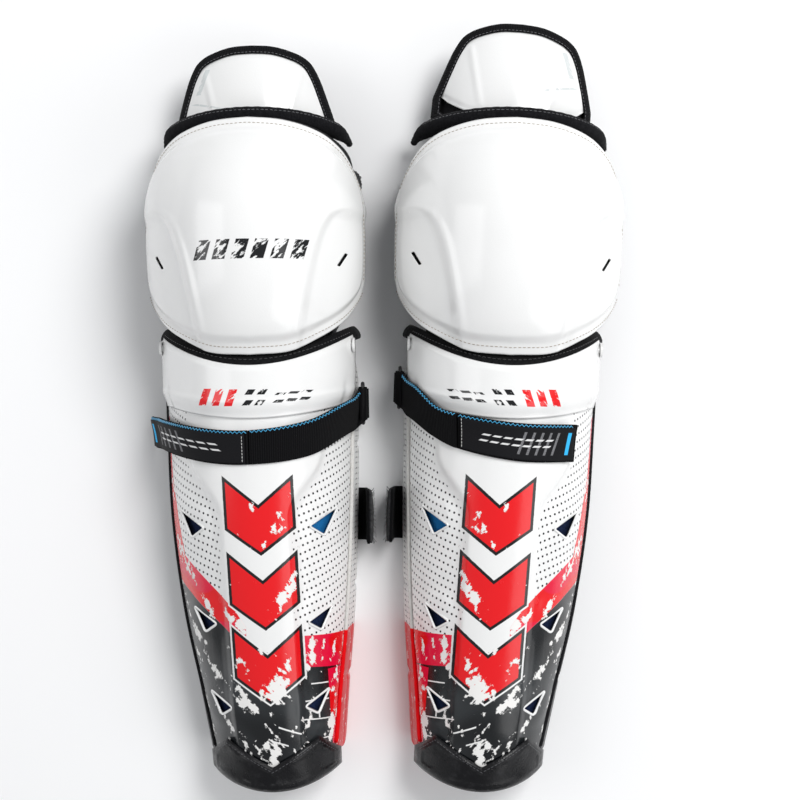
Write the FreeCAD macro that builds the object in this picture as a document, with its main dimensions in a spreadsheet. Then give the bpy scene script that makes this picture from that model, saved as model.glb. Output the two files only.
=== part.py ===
"""A pair of hockey shin guards, right and left, lying on their backs with the shins facing up.

Each guard is drawn once in its own frame and placed twice, the left one mirrored.
In a guard's own frame, +X points to the inner side of the right leg, +Y runs up the leg
from the lower edge of the ankle guard, and +Z points away from the floor, out of the shin.
All curved pieces are layers between elliptical lofts that share one centre line on the floor.
"""

import os

import FreeCAD
import Part
import Sketcher

# Driving dimensions in millimetres, one spreadsheet cell each.
DIMENSIONS = {
    "shell_wall": 3.0,
    "layer_gap": 0.6,
    "liner_wall": 7.4,
    "seam_height": 34.4,
    "wing_top": 30.6,
    "shell_bottom": 14.0,
    "shell_top": 285.0,
    "liner_top": 296.0,
    "wing_bottom": 18.0,
    "collar_gap": 1.0,
    "collar_wall": 3.5,
    "collar_low": 256.0,
    "collar_low_side": 268.0,
    "collar_high": 291.0,
    "collar_high_side": 318.0,
    "collar_reach": 76.0,
    "collar_floor": 38.0,
    "gasket_rise": 8.5,
    "vent_half_width": 7.0,
    "strap_wall": 2.2,
    "strap_width": 23.0,
    "tab_wall": 3.2,
    "webbing_wall": 2.2,
    "bar_half": 1.2,
    "loop_bore": 2.2,
    "loop_outer": 3.8,
    "strap_bar_across": 71.8,
    "strap_bar_height": 33.0,
    "strap_bar_low": 21.0,
    "right_strap_low": 253.0,
    "left_strap_low": 263.0,
    "right_seam": -2.0,
    "left_seam": 33.0,
    "right_tab_end": -84.0,
    "left_tab_end": -48.0,
    "floor_bar_height": 4.0,
    "floor_bar_high": 16.0,
    "calf_low": 166.0,
    "calf_width": 38.0,
    "calf_bar_across": 48.0,
    "calf_reach": 73.0,
    "knee_strap_low": 402.0,
    "knee_strap_width": 26.0,
    "knee_bar_across": 71.0,
    "knee_strap_reach": 71.0,
    "scallop_height": 3.6,
    "cap_wall": 3.5,
    "cap_floor": 42.0,
    "cap_half": 80.0,
    "cap_low": 297.0,
    "cap_top": 456.0,
    "foam_gap": 0.8,
    "foam_wall": 7.2,
    "foam_inset": 7.0,
    "knee_liner_wall": 7.0,
    "roll_radius": 5.5,
    "roll_along": 443.5,
    "roll_half": 65.0,
    "roll_height": 74.5,
    "roll_tilt": 12.9,
    "pivot_along": 305.0,
    "pivot_height": 48.0,
    "sling_across": 52.7,
    "sling_wall": 2.0,
    "rivet_radius": 2.5,
    "rivet_head": 5.0,
    "rivet_clearance": 0.06,
    "thigh_tongue": 437.0,
    "thigh_low": 452.0,
    "thigh_top": 513.0,
    "thigh_plate_wall": 2.5,
    "thigh_pad_wall": 7.0,
    "binding_width": 5.0,
    "pair_half_spacing": 77.5,
    "right_turn": 1.0,
    "left_turn": -2.0,
    "left_thigh_raise": 15.0,
    "left_thigh_turn": -4.0,
    "pair_shift_x": -3.1,
    "pair_shift_y": -263.5,
}

# Elliptical stations of each family of layers: distance along the leg, half width, height
# and sideways shift; the shin leans to its inner side toward the ankle.
STATIONS = {
    "shin": [
        (-2, 45.5, 61, 8),
        (60, 53.5, 70, 5),
        (120, 62, 80, 2),
        (185, 67, 90, 0),
        (245, 68.5, 97, 0),
        (330, 69.5, 103, 0),
    ],
    "strap": [(218, 69.8, 96.4, 0), (245, 71.6, 100, 0), (262, 74.4, 104.4, 0), (300, 75.8, 108.4, 0)],
    "cap": [
        (290, 77, 103, 0),
        (320, 79.5, 119, 0),
        (360, 82, 129, 0),
        (400, 82, 130, 0),
        (435, 78, 114, 0),
        (460, 73, 92, 0),
    ],
    "knee": [(298, 53, 82, 0), (330, 60, 97, 0), (400, 66, 106, 0), (440, 67, 91, 0), (470, 66, 72, 0)],
    "thigh": [(446, 62.5, 57, 0), (480, 61, 56, 0), (520, 59, 50, 0)],
}


class Length:
    """A length that keeps its value and the spreadsheet expression it comes from."""

    def __init__(self, value, text):
        self.value = value
        self.text = text

    def __add__(self, other):
        other = length(other)
        return Length(self.value + other.value, f"({self.text} + {other.text})")

    def __sub__(self, other):
        other = length(other)
        return Length(self.value - other.value, f"({self.text} - {other.text})")

    def __mul__(self, factor):
        return Length(self.value * factor, f"({self.text} * {factor})")

    def __neg__(self):
        return Length(-self.value, f"(-1 * {self.text})")


def length(number):
    """Any number as a Length."""
    return number if isinstance(number, Length) else Length(float(number), f"({float(number)})")


def fill_sheet(doc):
    """Writes the dimensions and the stations into the spreadsheet and returns the named lengths."""
    sheet = doc.addObject("Spreadsheet::Sheet", "Sizes")
    entries = dict(DIMENSIONS)
    for family, stations in STATIONS.items():
        for index, station in enumerate(stations):
            for what, value in zip(("along", "half", "height", "shift"), station):
                entries[f"{family}_{index}_{what}"] = value
    sizes = {}
    for row, (alias, value) in enumerate(entries.items(), start=1):
        sheet.set(f"A{row}", alias)
        sheet.set(f"B{row}", str(value))
        sheet.setAlias(f"B{row}", alias)
        sizes[alias] = Length(float(value), f"Sizes.{alias}")
    doc.recompute()
    return sizes


doc = FreeCAD.newDocument("ShinGuards")
size = fill_sheet(doc)
lofts = {}
guard_pieces = {"right": {}, "left": {}}

ALONG_LEG = FreeCAD.Rotation(FreeCAD.Vector(1, 1, 1), -120)
SIDE_VIEW = FreeCAD.Rotation(FreeCAD.Vector(1, 1, 1), 120)
END_VIEW = FreeCAD.Rotation(FreeCAD.Vector(1, 0, 0), 90)
TALL = 220.0
WIDE = 240.0


def bind(item, path, value):
    """Binds one property to its spreadsheet expression."""
    item.setExpression(path, length(value).text)


def loft(family, offset):
    """The solid inside one family's stations, moved out by offset; made once for each offset."""
    key = (family, length(offset).text)
    if key in lofts:
        return lofts[key]
    number = len(lofts)
    rings = []
    for index in range(len(STATIONS[family])):
        ring = doc.addObject("Part::Ellipse", f"ring_{number}_{index}")
        half = size[f"{family}_{index}_half"] + offset
        height = size[f"{family}_{index}_height"] + offset
        along = size[f"{family}_{index}_along"]
        shift = size[f"{family}_{index}_shift"]
        if height.value >= half.value:
            major, minor = height, half
            turn = ALONG_LEG
        else:
            major, minor = half, height
            turn = END_VIEW
        ring.MajorRadius = major.value
        ring.MinorRadius = minor.value
        ring.Placement = FreeCAD.Placement(FreeCAD.Vector(shift.value, along.value, 0), turn)
        bind(ring, "MajorRadius", major)
        bind(ring, "MinorRadius", minor)
        bind(ring, "Placement.Base.x", shift)
        bind(ring, "Placement.Base.y", along)
        rings.append(ring)
    solid = doc.addObject("Part::Loft", f"loft_{number}_{family}")
    solid.Sections = rings
    solid.Solid = True
    lofts[key] = solid
    return solid


def sketch(name, path, placement=None):
    """A closed sketch through (x, y) corners; a corner written (middle, end) arrives there by an arc."""
    drawing = doc.addObject("Sketcher::SketchObject", name)
    if placement:
        drawing.Placement = placement
    ends = [step[1] if isinstance(step[0], tuple) else step for step in path]
    ends = [tuple(length(c) for c in end) for end in ends]
    for number, step in enumerate(path):
        start, end = ends[number - 1], ends[number]
        first = FreeCAD.Vector(start[0].value, start[1].value, 0)
        last = FreeCAD.Vector(end[0].value, end[1].value, 0)
        if not isinstance(step[0], tuple):
            drawing.addGeometry(Part.LineSegment(first, last))
            continue
        middle = [length(c) for c in step[0]]
        point = FreeCAD.Vector(middle[0].value, middle[1].value, 0)
        if (point - first).cross(last - point).z < 0:
            first, last = last, first
        drawing.addGeometry(Part.Arc(first, point, last))
    for number, end in enumerate(ends):
        follower = (number + 1) % len(ends)
        corner = (number, end_index(drawing, number, end))
        start_of_next = (follower, 3 - end_index(drawing, follower, ends[follower]))
        drawing.addConstraint(Sketcher.Constraint("Coincident", *corner, *start_of_next))
        for kind, value in zip(("DistanceX", "DistanceY"), end):
            place = drawing.addConstraint(Sketcher.Constraint(kind, -1, 1, *corner, value.value))
            if "Sizes" in value.text:
                drawing.setExpression(f"Constraints[{place}]", value.text)
    for number, step in enumerate(path):
        if isinstance(step[0], tuple):
            radius = drawing.Geometry[number].Radius
            drawing.addConstraint(Sketcher.Constraint("Radius", number, radius))
    return drawing


def end_index(drawing, number, end):
    """Whether a sketch edge's point 1 or point 2 lies at the given end."""
    edge = drawing.Geometry[number]
    last = FreeCAD.Vector(end[0].value, end[1].value, 0)
    return 2 if edge.EndPoint.distanceToPoint(last) < edge.StartPoint.distanceToPoint(last) else 1


def prism(name, path, depth, placement=None, direction=None):
    """A closed outline extruded by depth along direction."""
    solid = doc.addObject("Part::Extrusion", name)
    solid.Base = sketch(name + "_outline", path, placement)
    solid.DirMode = "Custom"
    solid.Dir = direction or FreeCAD.Vector(0, 0, 1)
    solid.LengthFwd = length(depth).value
    if "Sizes" in length(depth).text:
        bind(solid, "LengthFwd", depth)
    solid.Solid = True
    return solid


def plan(name, path, floor=-1.0):
    """Everything above floor inside an outline seen from the front of the shin."""
    floor = length(floor)
    solid = prism(name, path, TALL)
    solid.Base.Placement = FreeCAD.Placement(FreeCAD.Vector(0, 0, floor.value), FreeCAD.Rotation())
    if "Sizes" in floor.text:
        bind(solid.Base, "Placement.Base.z", floor)
    return solid


def side(name, path, start=-WIDE / 2, depth=WIDE):
    """An outline in (along, height) extruded across the leg from start."""
    start = length(start)
    placement = FreeCAD.Placement(FreeCAD.Vector(start.value, 0, 0), SIDE_VIEW)
    solid = prism(name, path, depth, placement, FreeCAD.Vector(1, 0, 0))
    if "Sizes" in start.text:
        bind(solid.Base, "Placement.Base.x", start)
    return solid


def end_profile(name, path, along, depth):
    """An outline in (across, height) extruded up the leg from along."""
    along = length(along)
    placement = FreeCAD.Placement(FreeCAD.Vector(0, along.value, 0), END_VIEW)
    solid = prism(name, path, depth, placement, FreeCAD.Vector(0, 1, 0))
    if "Sizes" in along.text:
        bind(solid.Base, "Placement.Base.y", along)
    return solid


def cut(name, base, tool):
    item = doc.addObject("Part::Cut", name)
    item.Base = base
    item.Tool = tool
    return item


def common(name, *shapes):
    item = doc.addObject("Part::MultiCommon", name)
    item.Shapes = list(shapes)
    return item


def fuse(name, *shapes):
    item = doc.addObject("Part::MultiFuse", name)
    item.Shapes = list(shapes)
    return item


def layer(name, family, outer, inner, *trims):
    """The wall between two offsets of a family of stations, trimmed to every given solid."""
    wall = cut(name + "_wall", loft(family, outer), loft(family, inner))
    return common(name, wall, *trims)


def cylinder(name, radius, height, base, turn):
    """A cylinder bound to its radius, height and base point."""
    item = doc.addObject("Part::Cylinder", name)
    item.Radius = length(radius).value
    item.Height = length(height).value
    base = [length(c) for c in base]
    item.Placement = FreeCAD.Placement(FreeCAD.Vector(*[c.value for c in base]), turn)
    for path, value in [("Radius", radius), ("Height", height)] + list(
        zip(("Placement.Base.x", "Placement.Base.y", "Placement.Base.z"), base)
    ):
        if "Sizes" in length(value).text:
            bind(item, path, value)
    return item


UP_THE_LEG = FreeCAD.Rotation(FreeCAD.Vector(1, 0, 0), -90)
ACROSS = FreeCAD.Rotation(FreeCAD.Vector(0, 1, 0), 90)


def keep(name, item, hands=("right", "left")):
    """Registers a finished piece, in the guard's own frame, for one or both guards."""
    for hand in hands:
        guard_pieces[hand][name] = item


# ---------------------------------------------------------------- shin shell and its layers


def vents():
    """Six triangular vent windows, three on each flank of the shell."""
    half = size["vent_half_width"]
    prisms = []
    for row, (along, across, shift) in enumerate([(185, 45, 0), (119, 39.5, 2), (60.5, 33, 5)]):
        for hand in (-1, 1):
            centre = hand * across + shift
            outline = [
                (half * (0.1 * hand) + centre, length(along) - half * 1.2),
                (half * (0.95 * hand) + centre, length(along) + half * 1.2),
                (half * (-1.0 * hand) + centre, length(along) - half * 0.4),
            ]
            word = "outer" if hand < 0 else "inner"
            prisms.append(plan(f"vent_{row}_{word}", outline, size["seam_height"] - 20))
    return fuse("vent_windows", *prisms)


def shin_shell():
    outline = plan(
        "shell_plan",
        [
            (size["collar_reach"], size["shell_top"]),
            (-size["collar_reach"], size["shell_top"]),
            (-size["collar_reach"], size["shell_bottom"] + 4),
            ((0, 4), (size["collar_reach"], size["shell_bottom"] + 4)),
        ],
        size["seam_height"],
    )
    solid = layer("shell_blank", "shin", 0, -size["shell_wall"], outline)
    keep("shin_shell", cut("shell_vented", solid, vents()))


def shin_liner():
    outer = -(size["shell_wall"] + size["layer_gap"])
    outline = plan(
        "liner_plan",
        [
            (size["collar_reach"], size["liner_top"]),
            (-size["collar_reach"], size["liner_top"]),
            (-size["collar_reach"], size["shell_bottom"] + 6),
            ((0, 8), (size["collar_reach"], size["shell_bottom"] + 6)),
        ],
        size["seam_height"],
    )
    keep("shin_liner", layer("liner", "shin", outer, outer - size["liner_wall"], outline))


def collar():
    gap = size["collar_gap"]
    reach = size["collar_reach"]
    outline = plan(
        "collar_plan",
        [
            (reach, size["collar_high_side"]),
            ((0, size["collar_high"]), (-reach, size["collar_high_side"])),
            (-reach, size["collar_low_side"]),
            ((0, size["collar_low"]), (reach, size["collar_low_side"])),
        ],
        size["collar_floor"],
    )
    keep("collar_band", layer("collar", "shin", gap + size["collar_wall"], gap, outline))
    rise = size["gasket_rise"]
    outline = plan(
        "gasket_plan",
        [
            (reach, size["collar_high_side"] + rise),
            ((0, size["collar_high"] + rise), (-reach, size["collar_high_side"] + rise)),
            (-reach, size["shell_top"] + 1),
            (reach, size["shell_top"] + 1),
        ],
        size["collar_floor"],
    )
    blank = layer("gasket", "shin", gap - 0.4, -size["shell_wall"], outline)
    liner_room = loft("shin", -(size["shell_wall"] - 0.1))
    keep("collar_gasket", cut("gasket_trimmed", blank, liner_room))


def ankle_guard():
    outline = plan(
        "ankle_plan",
        [
            (56, 20),
            (39, 37),
            (7, 18),
            (-25, 37),
            (-41, 20),
            (-41, 13),
            ((7, 0), (56, 13)),
        ],
        26,
    )
    keep("ankle_guard", layer("ankle", "shin", 3.4, 0.6, outline))


def scallop(low, width):
    """The corners of the notch that a strap lying on the floor runs through, low end first."""
    start = low - 2
    end = low + width + 2
    height = size["scallop_height"]
    return [(start, 0), (start, height), (end, height), (end, 0)]


def wings():
    """The two padded flaps that carry the shell, from its seam down to the floor."""
    outline = side(
        "wing_side",
        [
            (size["wing_bottom"], size["wing_top"]),
            (size["wing_bottom"], 10),
            (size["wing_bottom"] + 10, 0),
            *scallop(size["calf_low"], size["calf_width"]),
            (size["liner_top"] - 20, 0),
            (size["liner_top"], 16),
            (size["liner_top"], size["wing_top"]),
        ],
    )
    inner = -(size["shell_wall"] + size["layer_gap"] + size["liner_wall"])
    wall = layer("wing_blank", "shin", 0, inner, outline)
    for name, low in (("medial_wing", 0), ("lateral_wing", -WIDE / 2)):
        half = side(name + "_half", [(0, -1), (400, -1), (400, 60), (0, 60)], low, WIDE / 2)
        keep(name, common(name + "_solid", wall, half))


def shell_piping():
    """The piping bead along the seam between shell and wings, one run on each side."""
    bead = side(
        "piping_side",
        [
            (size["wing_bottom"] + 10, size["wing_top"] + 0.4),
            (size["shell_top"], size["wing_top"] + 0.4),
            (size["shell_top"], size["seam_height"] - 0.4),
            (size["wing_bottom"] + 10, size["seam_height"] - 0.4),
        ],
    )
    keep("shell_piping", layer("piping", "shin", 0.9, -size["shell_wall"], bead))


# ---------------------------------------------------------------- straps and their hardware


def ring_frame(name, across, low_bar, high_bar, low, width):
    """A flat rectangular ring whose two long bars run along the leg."""
    bar = size["bar_half"]
    start = low - 3.6
    end = low + width + 3.6
    outer = side(
        name + "_outer",
        [(start, low_bar - bar), (end, low_bar - bar), (end, high_bar + bar), (start, high_bar + bar)],
        across - bar,
        bar * 2,
    )
    window = side(
        name + "_window",
        [
            (start + 2.6, low_bar + bar),
            (end - 2.6, low_bar + bar),
            (end - 2.6, high_bar - bar),
            (start + 2.6, high_bar - bar),
        ],
        across - bar - 1,
        bar * 2 + 2,
    )
    return cut(name, outer, window)


def sewn_loop(name, across, height, low, width, sheet_of_webbing):
    """Webbing folded round a bar: a tube fused to the sheet that leaves it."""
    tube = cylinder(name + "_tube", size["loop_outer"], width, (across, low, height), UP_THE_LEG)
    bore = cylinder(name + "_bore", size["loop_bore"], width + 20, (across, low - 10, height), UP_THE_LEG)
    return cut(name, fuse(name + "_blank", tube, sheet_of_webbing), bore)


def anchor(name, across, bar_height, far_height, low, width, lean=0.0):
    """A webbing tab that holds a ring's fixed bar and is riveted flat to the wing."""
    wall = size["webbing_wall"]
    inset = low + 1
    path = [
        (across - wall * 0.5, bar_height),
        (across + wall * 0.5, bar_height),
        (across + wall * 0.5 + lean, far_height),
        (across - wall * 0.5 + lean, far_height),
    ]
    strip = end_profile(name + "_strip", path, inset, width - 2)
    return sewn_loop(name, across, bar_height, inset, width - 2, strip)


def rivet_pair(name, across, height, low, width, reach=9.0):
    """Two rivets in line along the leg, each a head on a shank that enters the wing."""
    parts = []
    for number, along in enumerate((low + 7, low + width - 7)):
        shank = cylinder(f"{name}_shank_{number}", 1.5, reach, (across - reach + 1, along, height), ACROSS)
        head = cylinder(f"{name}_head_{number}", 3.2, 1.4, (across, along, height), ACROSS)
        parts.append(fuse(f"{name}_{number}", shank, head))
    return parts


def front_strap(hand, webbing_path, tab_path, tab_floor):
    """The webbing over the front of one guard and the tab that closes it, split at their seam."""
    low = size[hand + "_strap_low"]
    width = size["strap_width"]
    wall = size["strap_wall"]
    across = size["strap_bar_across"]
    height = size["strap_bar_height"]
    run = layer(hand + "_strap_run", "strap", wall, 0, plan(hand + "_strap_plan", webbing_path, height))
    keep("front_strap", sewn_loop(hand + "_strap_folded", across, height, low, width, run), [hand])
    end = plan(hand + "_tab_plan", tab_path, tab_floor)
    keep("strap_tab", layer(hand + "_tab_run", "strap", size["tab_wall"], 0, end), [hand])
    frame = ring_frame(hand + "_strap_ring_frame", across, size["strap_bar_low"], height, low, width)
    keep("strap_ring", frame, [hand])
    tab = anchor(hand + "_strap_anchor_tab", across, size["strap_bar_low"], 3, low, width, -1.0)
    keep("strap_anchor", tab, [hand])


def front_straps():
    """Both front straps: the right one's seam sits mid-shin, the left one's further inward."""
    low, width = size["right_strap_low"], size["strap_width"]
    seam, end = size["right_seam"], size["right_tab_end"]
    webbing = [
        (84, low),
        (84, low + width),
        (65, low + width - 8.5),
        ((38, low + 1), (seam, low - 5)),
        (seam, low - 27.5),
        ((38, low - 22.5), (65, low - 8)),
    ]
    tab = [
        (seam - 0.6, low - 5),
        ((-36, low - 3), (end, low + 6)),
        (end, low - 15),
        ((-36, low - 25.5), (seam - 0.6, low - 27.5)),
    ]
    front_strap("right", webbing, tab, 27)
    low = size["left_strap_low"]
    seam, end = size["left_seam"], size["left_tab_end"]
    webbing = [
        (84, low),
        (84, low + width),
        (63, low + width - 9),
        ((48, low), (seam, low - 5)),
        (seam, low - 28),
        ((50, low - 20), (65, low - 9)),
    ]
    tab = [
        (seam - 0.6, low - 5),
        ((-8, low - 10), (end, low - 10)),
        (end, low - 35),
        ((-8, low - 35), (seam - 0.6, low - 28)),
    ]
    front_strap("left", webbing, tab, 40)


def floor_strap(name, low, width, bar, reach, rise, lean):
    """Webbing from a ring at the outer side, under the leg and up the inner side."""
    wall = size["webbing_wall"]
    height = size["floor_bar_height"]
    bottom = height - size["loop_outer"]
    path = [
        (-bar, bottom),
        (reach - 4, bottom),
        (reach, bottom + 4),
        (reach + lean, rise),
        (reach + lean - wall, rise),
        (reach - wall, bottom + 5),
        (reach - 5, bottom + wall),
        (-bar, bottom + wall),
    ]
    run = end_profile(name + "_run", path, low, width)
    keep(name, sewn_loop(name + "_folded", -bar, height, low, width, run))
    patch = [
        (reach + 0.05, bottom + 6),
        (reach + 2.1, bottom + 6),
        (reach + lean + 2.1, rise),
        (reach + lean + 0.05, rise),
    ]
    slope = lean * (1 / (rise - bottom.value - 4))
    patch[0] = (patch[0][0] + slope * 2, patch[0][1])
    patch[1] = (patch[1][0] + slope * 2, patch[1][1])
    keep(name + "_tab", end_profile(name + "_patch", patch, low + 1, width - 2))
    ring = ring_frame(name + "_ring", -bar, height, size["floor_bar_high"], low, width)
    keep(name.replace("strap", "ring"), ring)


def calf_strap():
    low, width, bar = size["calf_low"], size["calf_width"], size["calf_bar_across"]
    floor_strap("calf_strap", low, width, bar, size["calf_reach"], 38, 1.5)
    keep("calf_anchor", anchor("calf_anchor_tab", -bar, size["floor_bar_high"], 30, low, width, 1.0))


def knee_strap():
    low, width, bar = size["knee_strap_low"], size["knee_strap_width"], size["knee_bar_across"]
    floor_strap("knee_strap", low, width, bar, size["knee_strap_reach"], 37, -3.4)
    keep("knee_anchor", anchor("knee_anchor_tab", -bar, size["floor_bar_high"], 37, low, width, -8.0))


def strap_rivets():
    """All the rivets that hold the two anchors of each shin; the calf pair is set from the inside."""
    low, width = size["calf_low"], size["calf_width"]
    calf = rivet_pair("calf_rivet", -(size["calf_bar_across"] - 1.8), 26, low, width)
    for hand in ("right", "left"):
        low, width = size[hand + "_strap_low"], size["strap_width"]
        front = rivet_pair(hand + "_front_rivet", size["strap_bar_across"] + 0.2, 9, low, width)
        group = doc.addObject("Part::Compound", hand + "_rivet_group")
        group.Links = front + calf
        keep("strap_rivets", group, [hand])


# ---------------------------------------------------------------- knee cap and its layers


def cap_outline(inset=0.0):
    """Front view of the knee cap, moved in by inset all round."""
    low = size["cap_low"] + inset
    top = size["cap_top"] - inset
    side_x = size["cap_half"] - inset
    shrink = 1 - inset_share(inset)
    return [
        ((69 * shrink, low + 31), (side_x, low + 66)),
        (side_x - 2, top - 58),
        ((66 * shrink, top - 24), (48 * shrink, top - 8.5)),
        ((0, top), (-48 * shrink, top - 8.5)),
        ((-66 * shrink, top - 24), (-side_x + 2, top - 58)),
        (-side_x, low + 66),
        ((-69 * shrink, low + 31), (-50 * shrink, low + 13.4)),
        ((0, low), (50 * shrink, low + 13.4)),
    ]


def inset_share(inset):
    """How much narrower the knee cap's front view is when moved in by inset."""
    return length(inset).value / 80.0


def knee_cap():
    outline = plan("cap_plan", cap_outline(), size["cap_floor"])
    blank = layer("cap_blank", "cap", 0, -size["cap_wall"], outline)
    slots = []
    for hand in (-1, 1):
        corner = [(hand * 57, 352), (hand * 59.5, 353), (hand * 66, 366), (hand * 63.5, 365)]
        slots.append(plan(f"cap_slot_{'outer' if hand < 0 else 'inner'}", corner, 30))
    keep("knee_cap", cut("cap_slotted", blank, fuse("cap_slots", *slots)))
    outer = -(size["cap_wall"] + size["foam_gap"])
    outline = plan("foam_plan", cap_outline(size["foam_inset"].value), size["cap_floor"] + 5)
    keep("knee_foam", layer("foam", "cap", outer, outer - size["foam_wall"], outline))


def knee_liner():
    low = size["pivot_along"] - 2
    outline = side(
        "knee_liner_side",
        [
            (low, 160),
            (low, size["pivot_height"]),
            (low + 33, 0),
            *scallop(size["knee_strap_low"], size["knee_strap_width"]),
            (437, 0),
            (455, 78),
            (474, 160),
        ],
    )
    keep("knee_liner", layer("knee_liner_solid", "knee", 0, -size["knee_liner_wall"], outline))
    spine = doc.addObject("Part::Ellipse", "roll_spine")
    spine.MajorRadius = size["roll_height"].value
    spine.MinorRadius = size["roll_half"].value
    bind(spine, "MajorRadius", size["roll_height"])
    bind(spine, "MinorRadius", size["roll_half"])
    spine.Angle1 = 281
    spine.Angle2 = 79
    tilt = FreeCAD.Rotation(FreeCAD.Vector(1, 0, 0), -size["roll_tilt"].value)
    spine.Placement = FreeCAD.Placement(FreeCAD.Vector(0, size["roll_along"].value, 0), tilt * ALONG_LEG)
    bind(spine, "Placement.Base.y", size["roll_along"])
    keep("knee_roll", swept_tube("roll_tube", spine, size["roll_radius"]))


def swept_tube(name, spine, radius):
    """A round tube along a spine curve."""
    doc.recompute()
    edge = spine.Shape.Edges[0]
    start = edge.valueAt(edge.FirstParameter)
    heading = edge.tangentAt(edge.FirstParameter)
    ring = doc.addObject("Part::Circle", name + "_ring")
    ring.Radius = radius.value
    bind(ring, "Radius", radius)
    ring.Placement = FreeCAD.Placement(start, FreeCAD.Rotation(FreeCAD.Vector(0, 0, 1), heading))
    tube = doc.addObject("Part::Sweep", name)
    tube.Sections = [ring]
    tube.Spine = (spine, ["Edge1"])
    tube.Solid = True
    tube.Frenet = False
    return tube


def knee_slings():
    """The two flat links that carry the knee cap, and the rivets they turn on."""
    wall = size["sling_wall"]
    along, height = size["pivot_along"], size["pivot_height"]
    radius = size["rivet_radius"]
    slings, rivets = [], []
    path = [
        (along - 1, height + 6.2),
        ((along - 6.2, height), (along, height - 6.2)),
        (along + 13, height - 5),
        (along + 27, height + 1.5),
        (along + 43, height + 7.5),
        ((along + 44.5, height + 13), (along + 37, height + 15.5)),
        (along + 23, height + 6.2),
    ]
    for hand in (-1, 1):
        word = "outer" if hand < 0 else "inner"
        start = size["sling_across"] if hand > 0 else -(size["sling_across"] + wall)
        plate = side("sling_" + word, path, start, wall)
        hole = cylinder(
            "sling_hole_" + word,
            radius + size["rivet_clearance"],
            wall + 4,
            (start - 2, along, height),
            ACROSS,
        )
        slings.append(cut("sling_drilled_" + word, plate, hole))
        head_in = size["sling_across"] - 1.6
        starts = [
            (radius, length(15.2), head_in),
            (size["rivet_head"], length(1.3), head_in),
            (size["rivet_head"], length(1.6), head_in + 14.6),
        ]
        parts = []
        for number, (girth, reach, place) in enumerate(starts):
            base = place if hand > 0 else -(place + reach)
            parts.append(cylinder(f"pivot_{word}_{number}", girth, reach, (base, along, height), ACROSS))
        rivets.append(fuse("pivot_rivet_" + word, *parts))
    group = doc.addObject("Part::Compound", "sling_group")
    group.Links = slings
    keep("knee_slings", group)
    group = doc.addObject("Part::Compound", "pivot_rivet_group")
    group.Links = rivets
    keep("pivot_rivets", group)


# ---------------------------------------------------------------- thigh guard


def thigh_outline(inset=0.0):
    """Front view of the thigh guard, moved in by inset all round, with its tongue below."""
    low = size["thigh_low"] + inset
    top = size["thigh_top"] - inset
    tongue = size["thigh_tongue"] + inset
    return [
        (57 - inset, low + 8),
        (50 - inset, low + 28),
        ((41 - inset, top - 11.5), (29 - inset * 0.7, top - 4.5)),
        ((0, top), (-29 + inset * 0.7, top - 4.5)),
        ((-41 + inset, top - 11.5), (-50 + inset, low + 28)),
        (-57 + inset, low + 8),
        (-46 + inset, low),
        (-44 + inset, tongue),
        (44 - inset, tongue),
        (46 - inset, low),
    ]


def thigh_guard():
    plate = size["thigh_plate_wall"]
    pad = plate + size["layer_gap"]
    width = size["binding_width"].value
    inner = plan("thigh_inner", thigh_outline(width + 0.5))
    keep("thigh_plate", layer("thigh_plate_wall", "thigh", 0, -plate, inner))
    keep("thigh_pad", layer("thigh_pad_wall", "thigh", -pad, -(pad + size["thigh_pad_wall"]), inner))
    rim = cut("thigh_rim", plan("thigh_outer", thigh_outline()), plan("thigh_hole", thigh_outline(width)))
    rim_wall = cut("binding_wall", loft("thigh", 0.8), loft("thigh", -(pad + size["thigh_pad_wall"] + 0.8)))
    keep("thigh_binding", common("thigh_binding_band", rim_wall, rim))


# ---------------------------------------------------------------- the pair


def thigh_setting(hand):
    """How one thigh guard is set on its hook patch: raised and turned, on the left leg only."""
    if hand == "right":
        return FreeCAD.Placement()
    turn = FreeCAD.Rotation(FreeCAD.Vector(0, 0, 1), size["left_thigh_turn"].value)
    centre = FreeCAD.Vector(0, size["thigh_low"].value, 0)
    raised = FreeCAD.Vector(0, size["left_thigh_raise"].value, 0)
    return FreeCAD.Placement(raised, turn, centre)


def set_apart(source, setting):
    """A compound that holds one shape at its own setting."""
    group = doc.addObject("Part::Compound", source.Name + "_setting")
    group.Links = [source]
    group.Placement = setting
    return group


def place_guard(hand, side_sign):
    """Places every piece of one guard: the right as drawn, the left mirrored."""
    turn = FreeCAD.Rotation(FreeCAD.Vector(0, 0, 1), size[hand + "_turn"].value)
    across = size["pair_shift_x"] + size["pair_half_spacing"] * side_sign
    along = size["pair_shift_y"]
    placed = []
    for name, item in guard_pieces[hand].items():
        source = item
        if hand == "left":
            source = doc.addObject("Part::Mirroring", name + "_mirrored")
            source.Source = item
            source.Normal = FreeCAD.Vector(1, 0, 0)
        if name.startswith("thigh"):
            source = set_apart(source, thigh_setting(hand))
        piece = doc.addObject("Part::Compound", f"{hand}_{name}")
        piece.Label = f"{hand}_{name}"
        piece.Links = [source]
        piece.Placement = FreeCAD.Placement(FreeCAD.Vector(across.value, along.value, 0), turn)
        bind(piece, "Placement.Base.x", across)
        bind(piece, "Placement.Base.y", along)
        placed.append(piece)
    return placed


def check_document(pieces):
    """Stops on any failed object or any piece that isn't a valid, solid shape."""
    for item in doc.Objects:
        if "Invalid" in item.State or "Error" in item.State:
            raise RuntimeError(f"{item.Name} failed: {item.State}")
    for piece in pieces:
        shape = piece.Shape
        if shape.isNull() or not shape.isValid() or not shape.Solids:
            raise RuntimeError(f"{piece.Label} has no valid solid")
        if min(solid.Volume for solid in shape.Solids) <= 0:
            raise RuntimeError(f"{piece.Label} has an empty solid")


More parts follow.
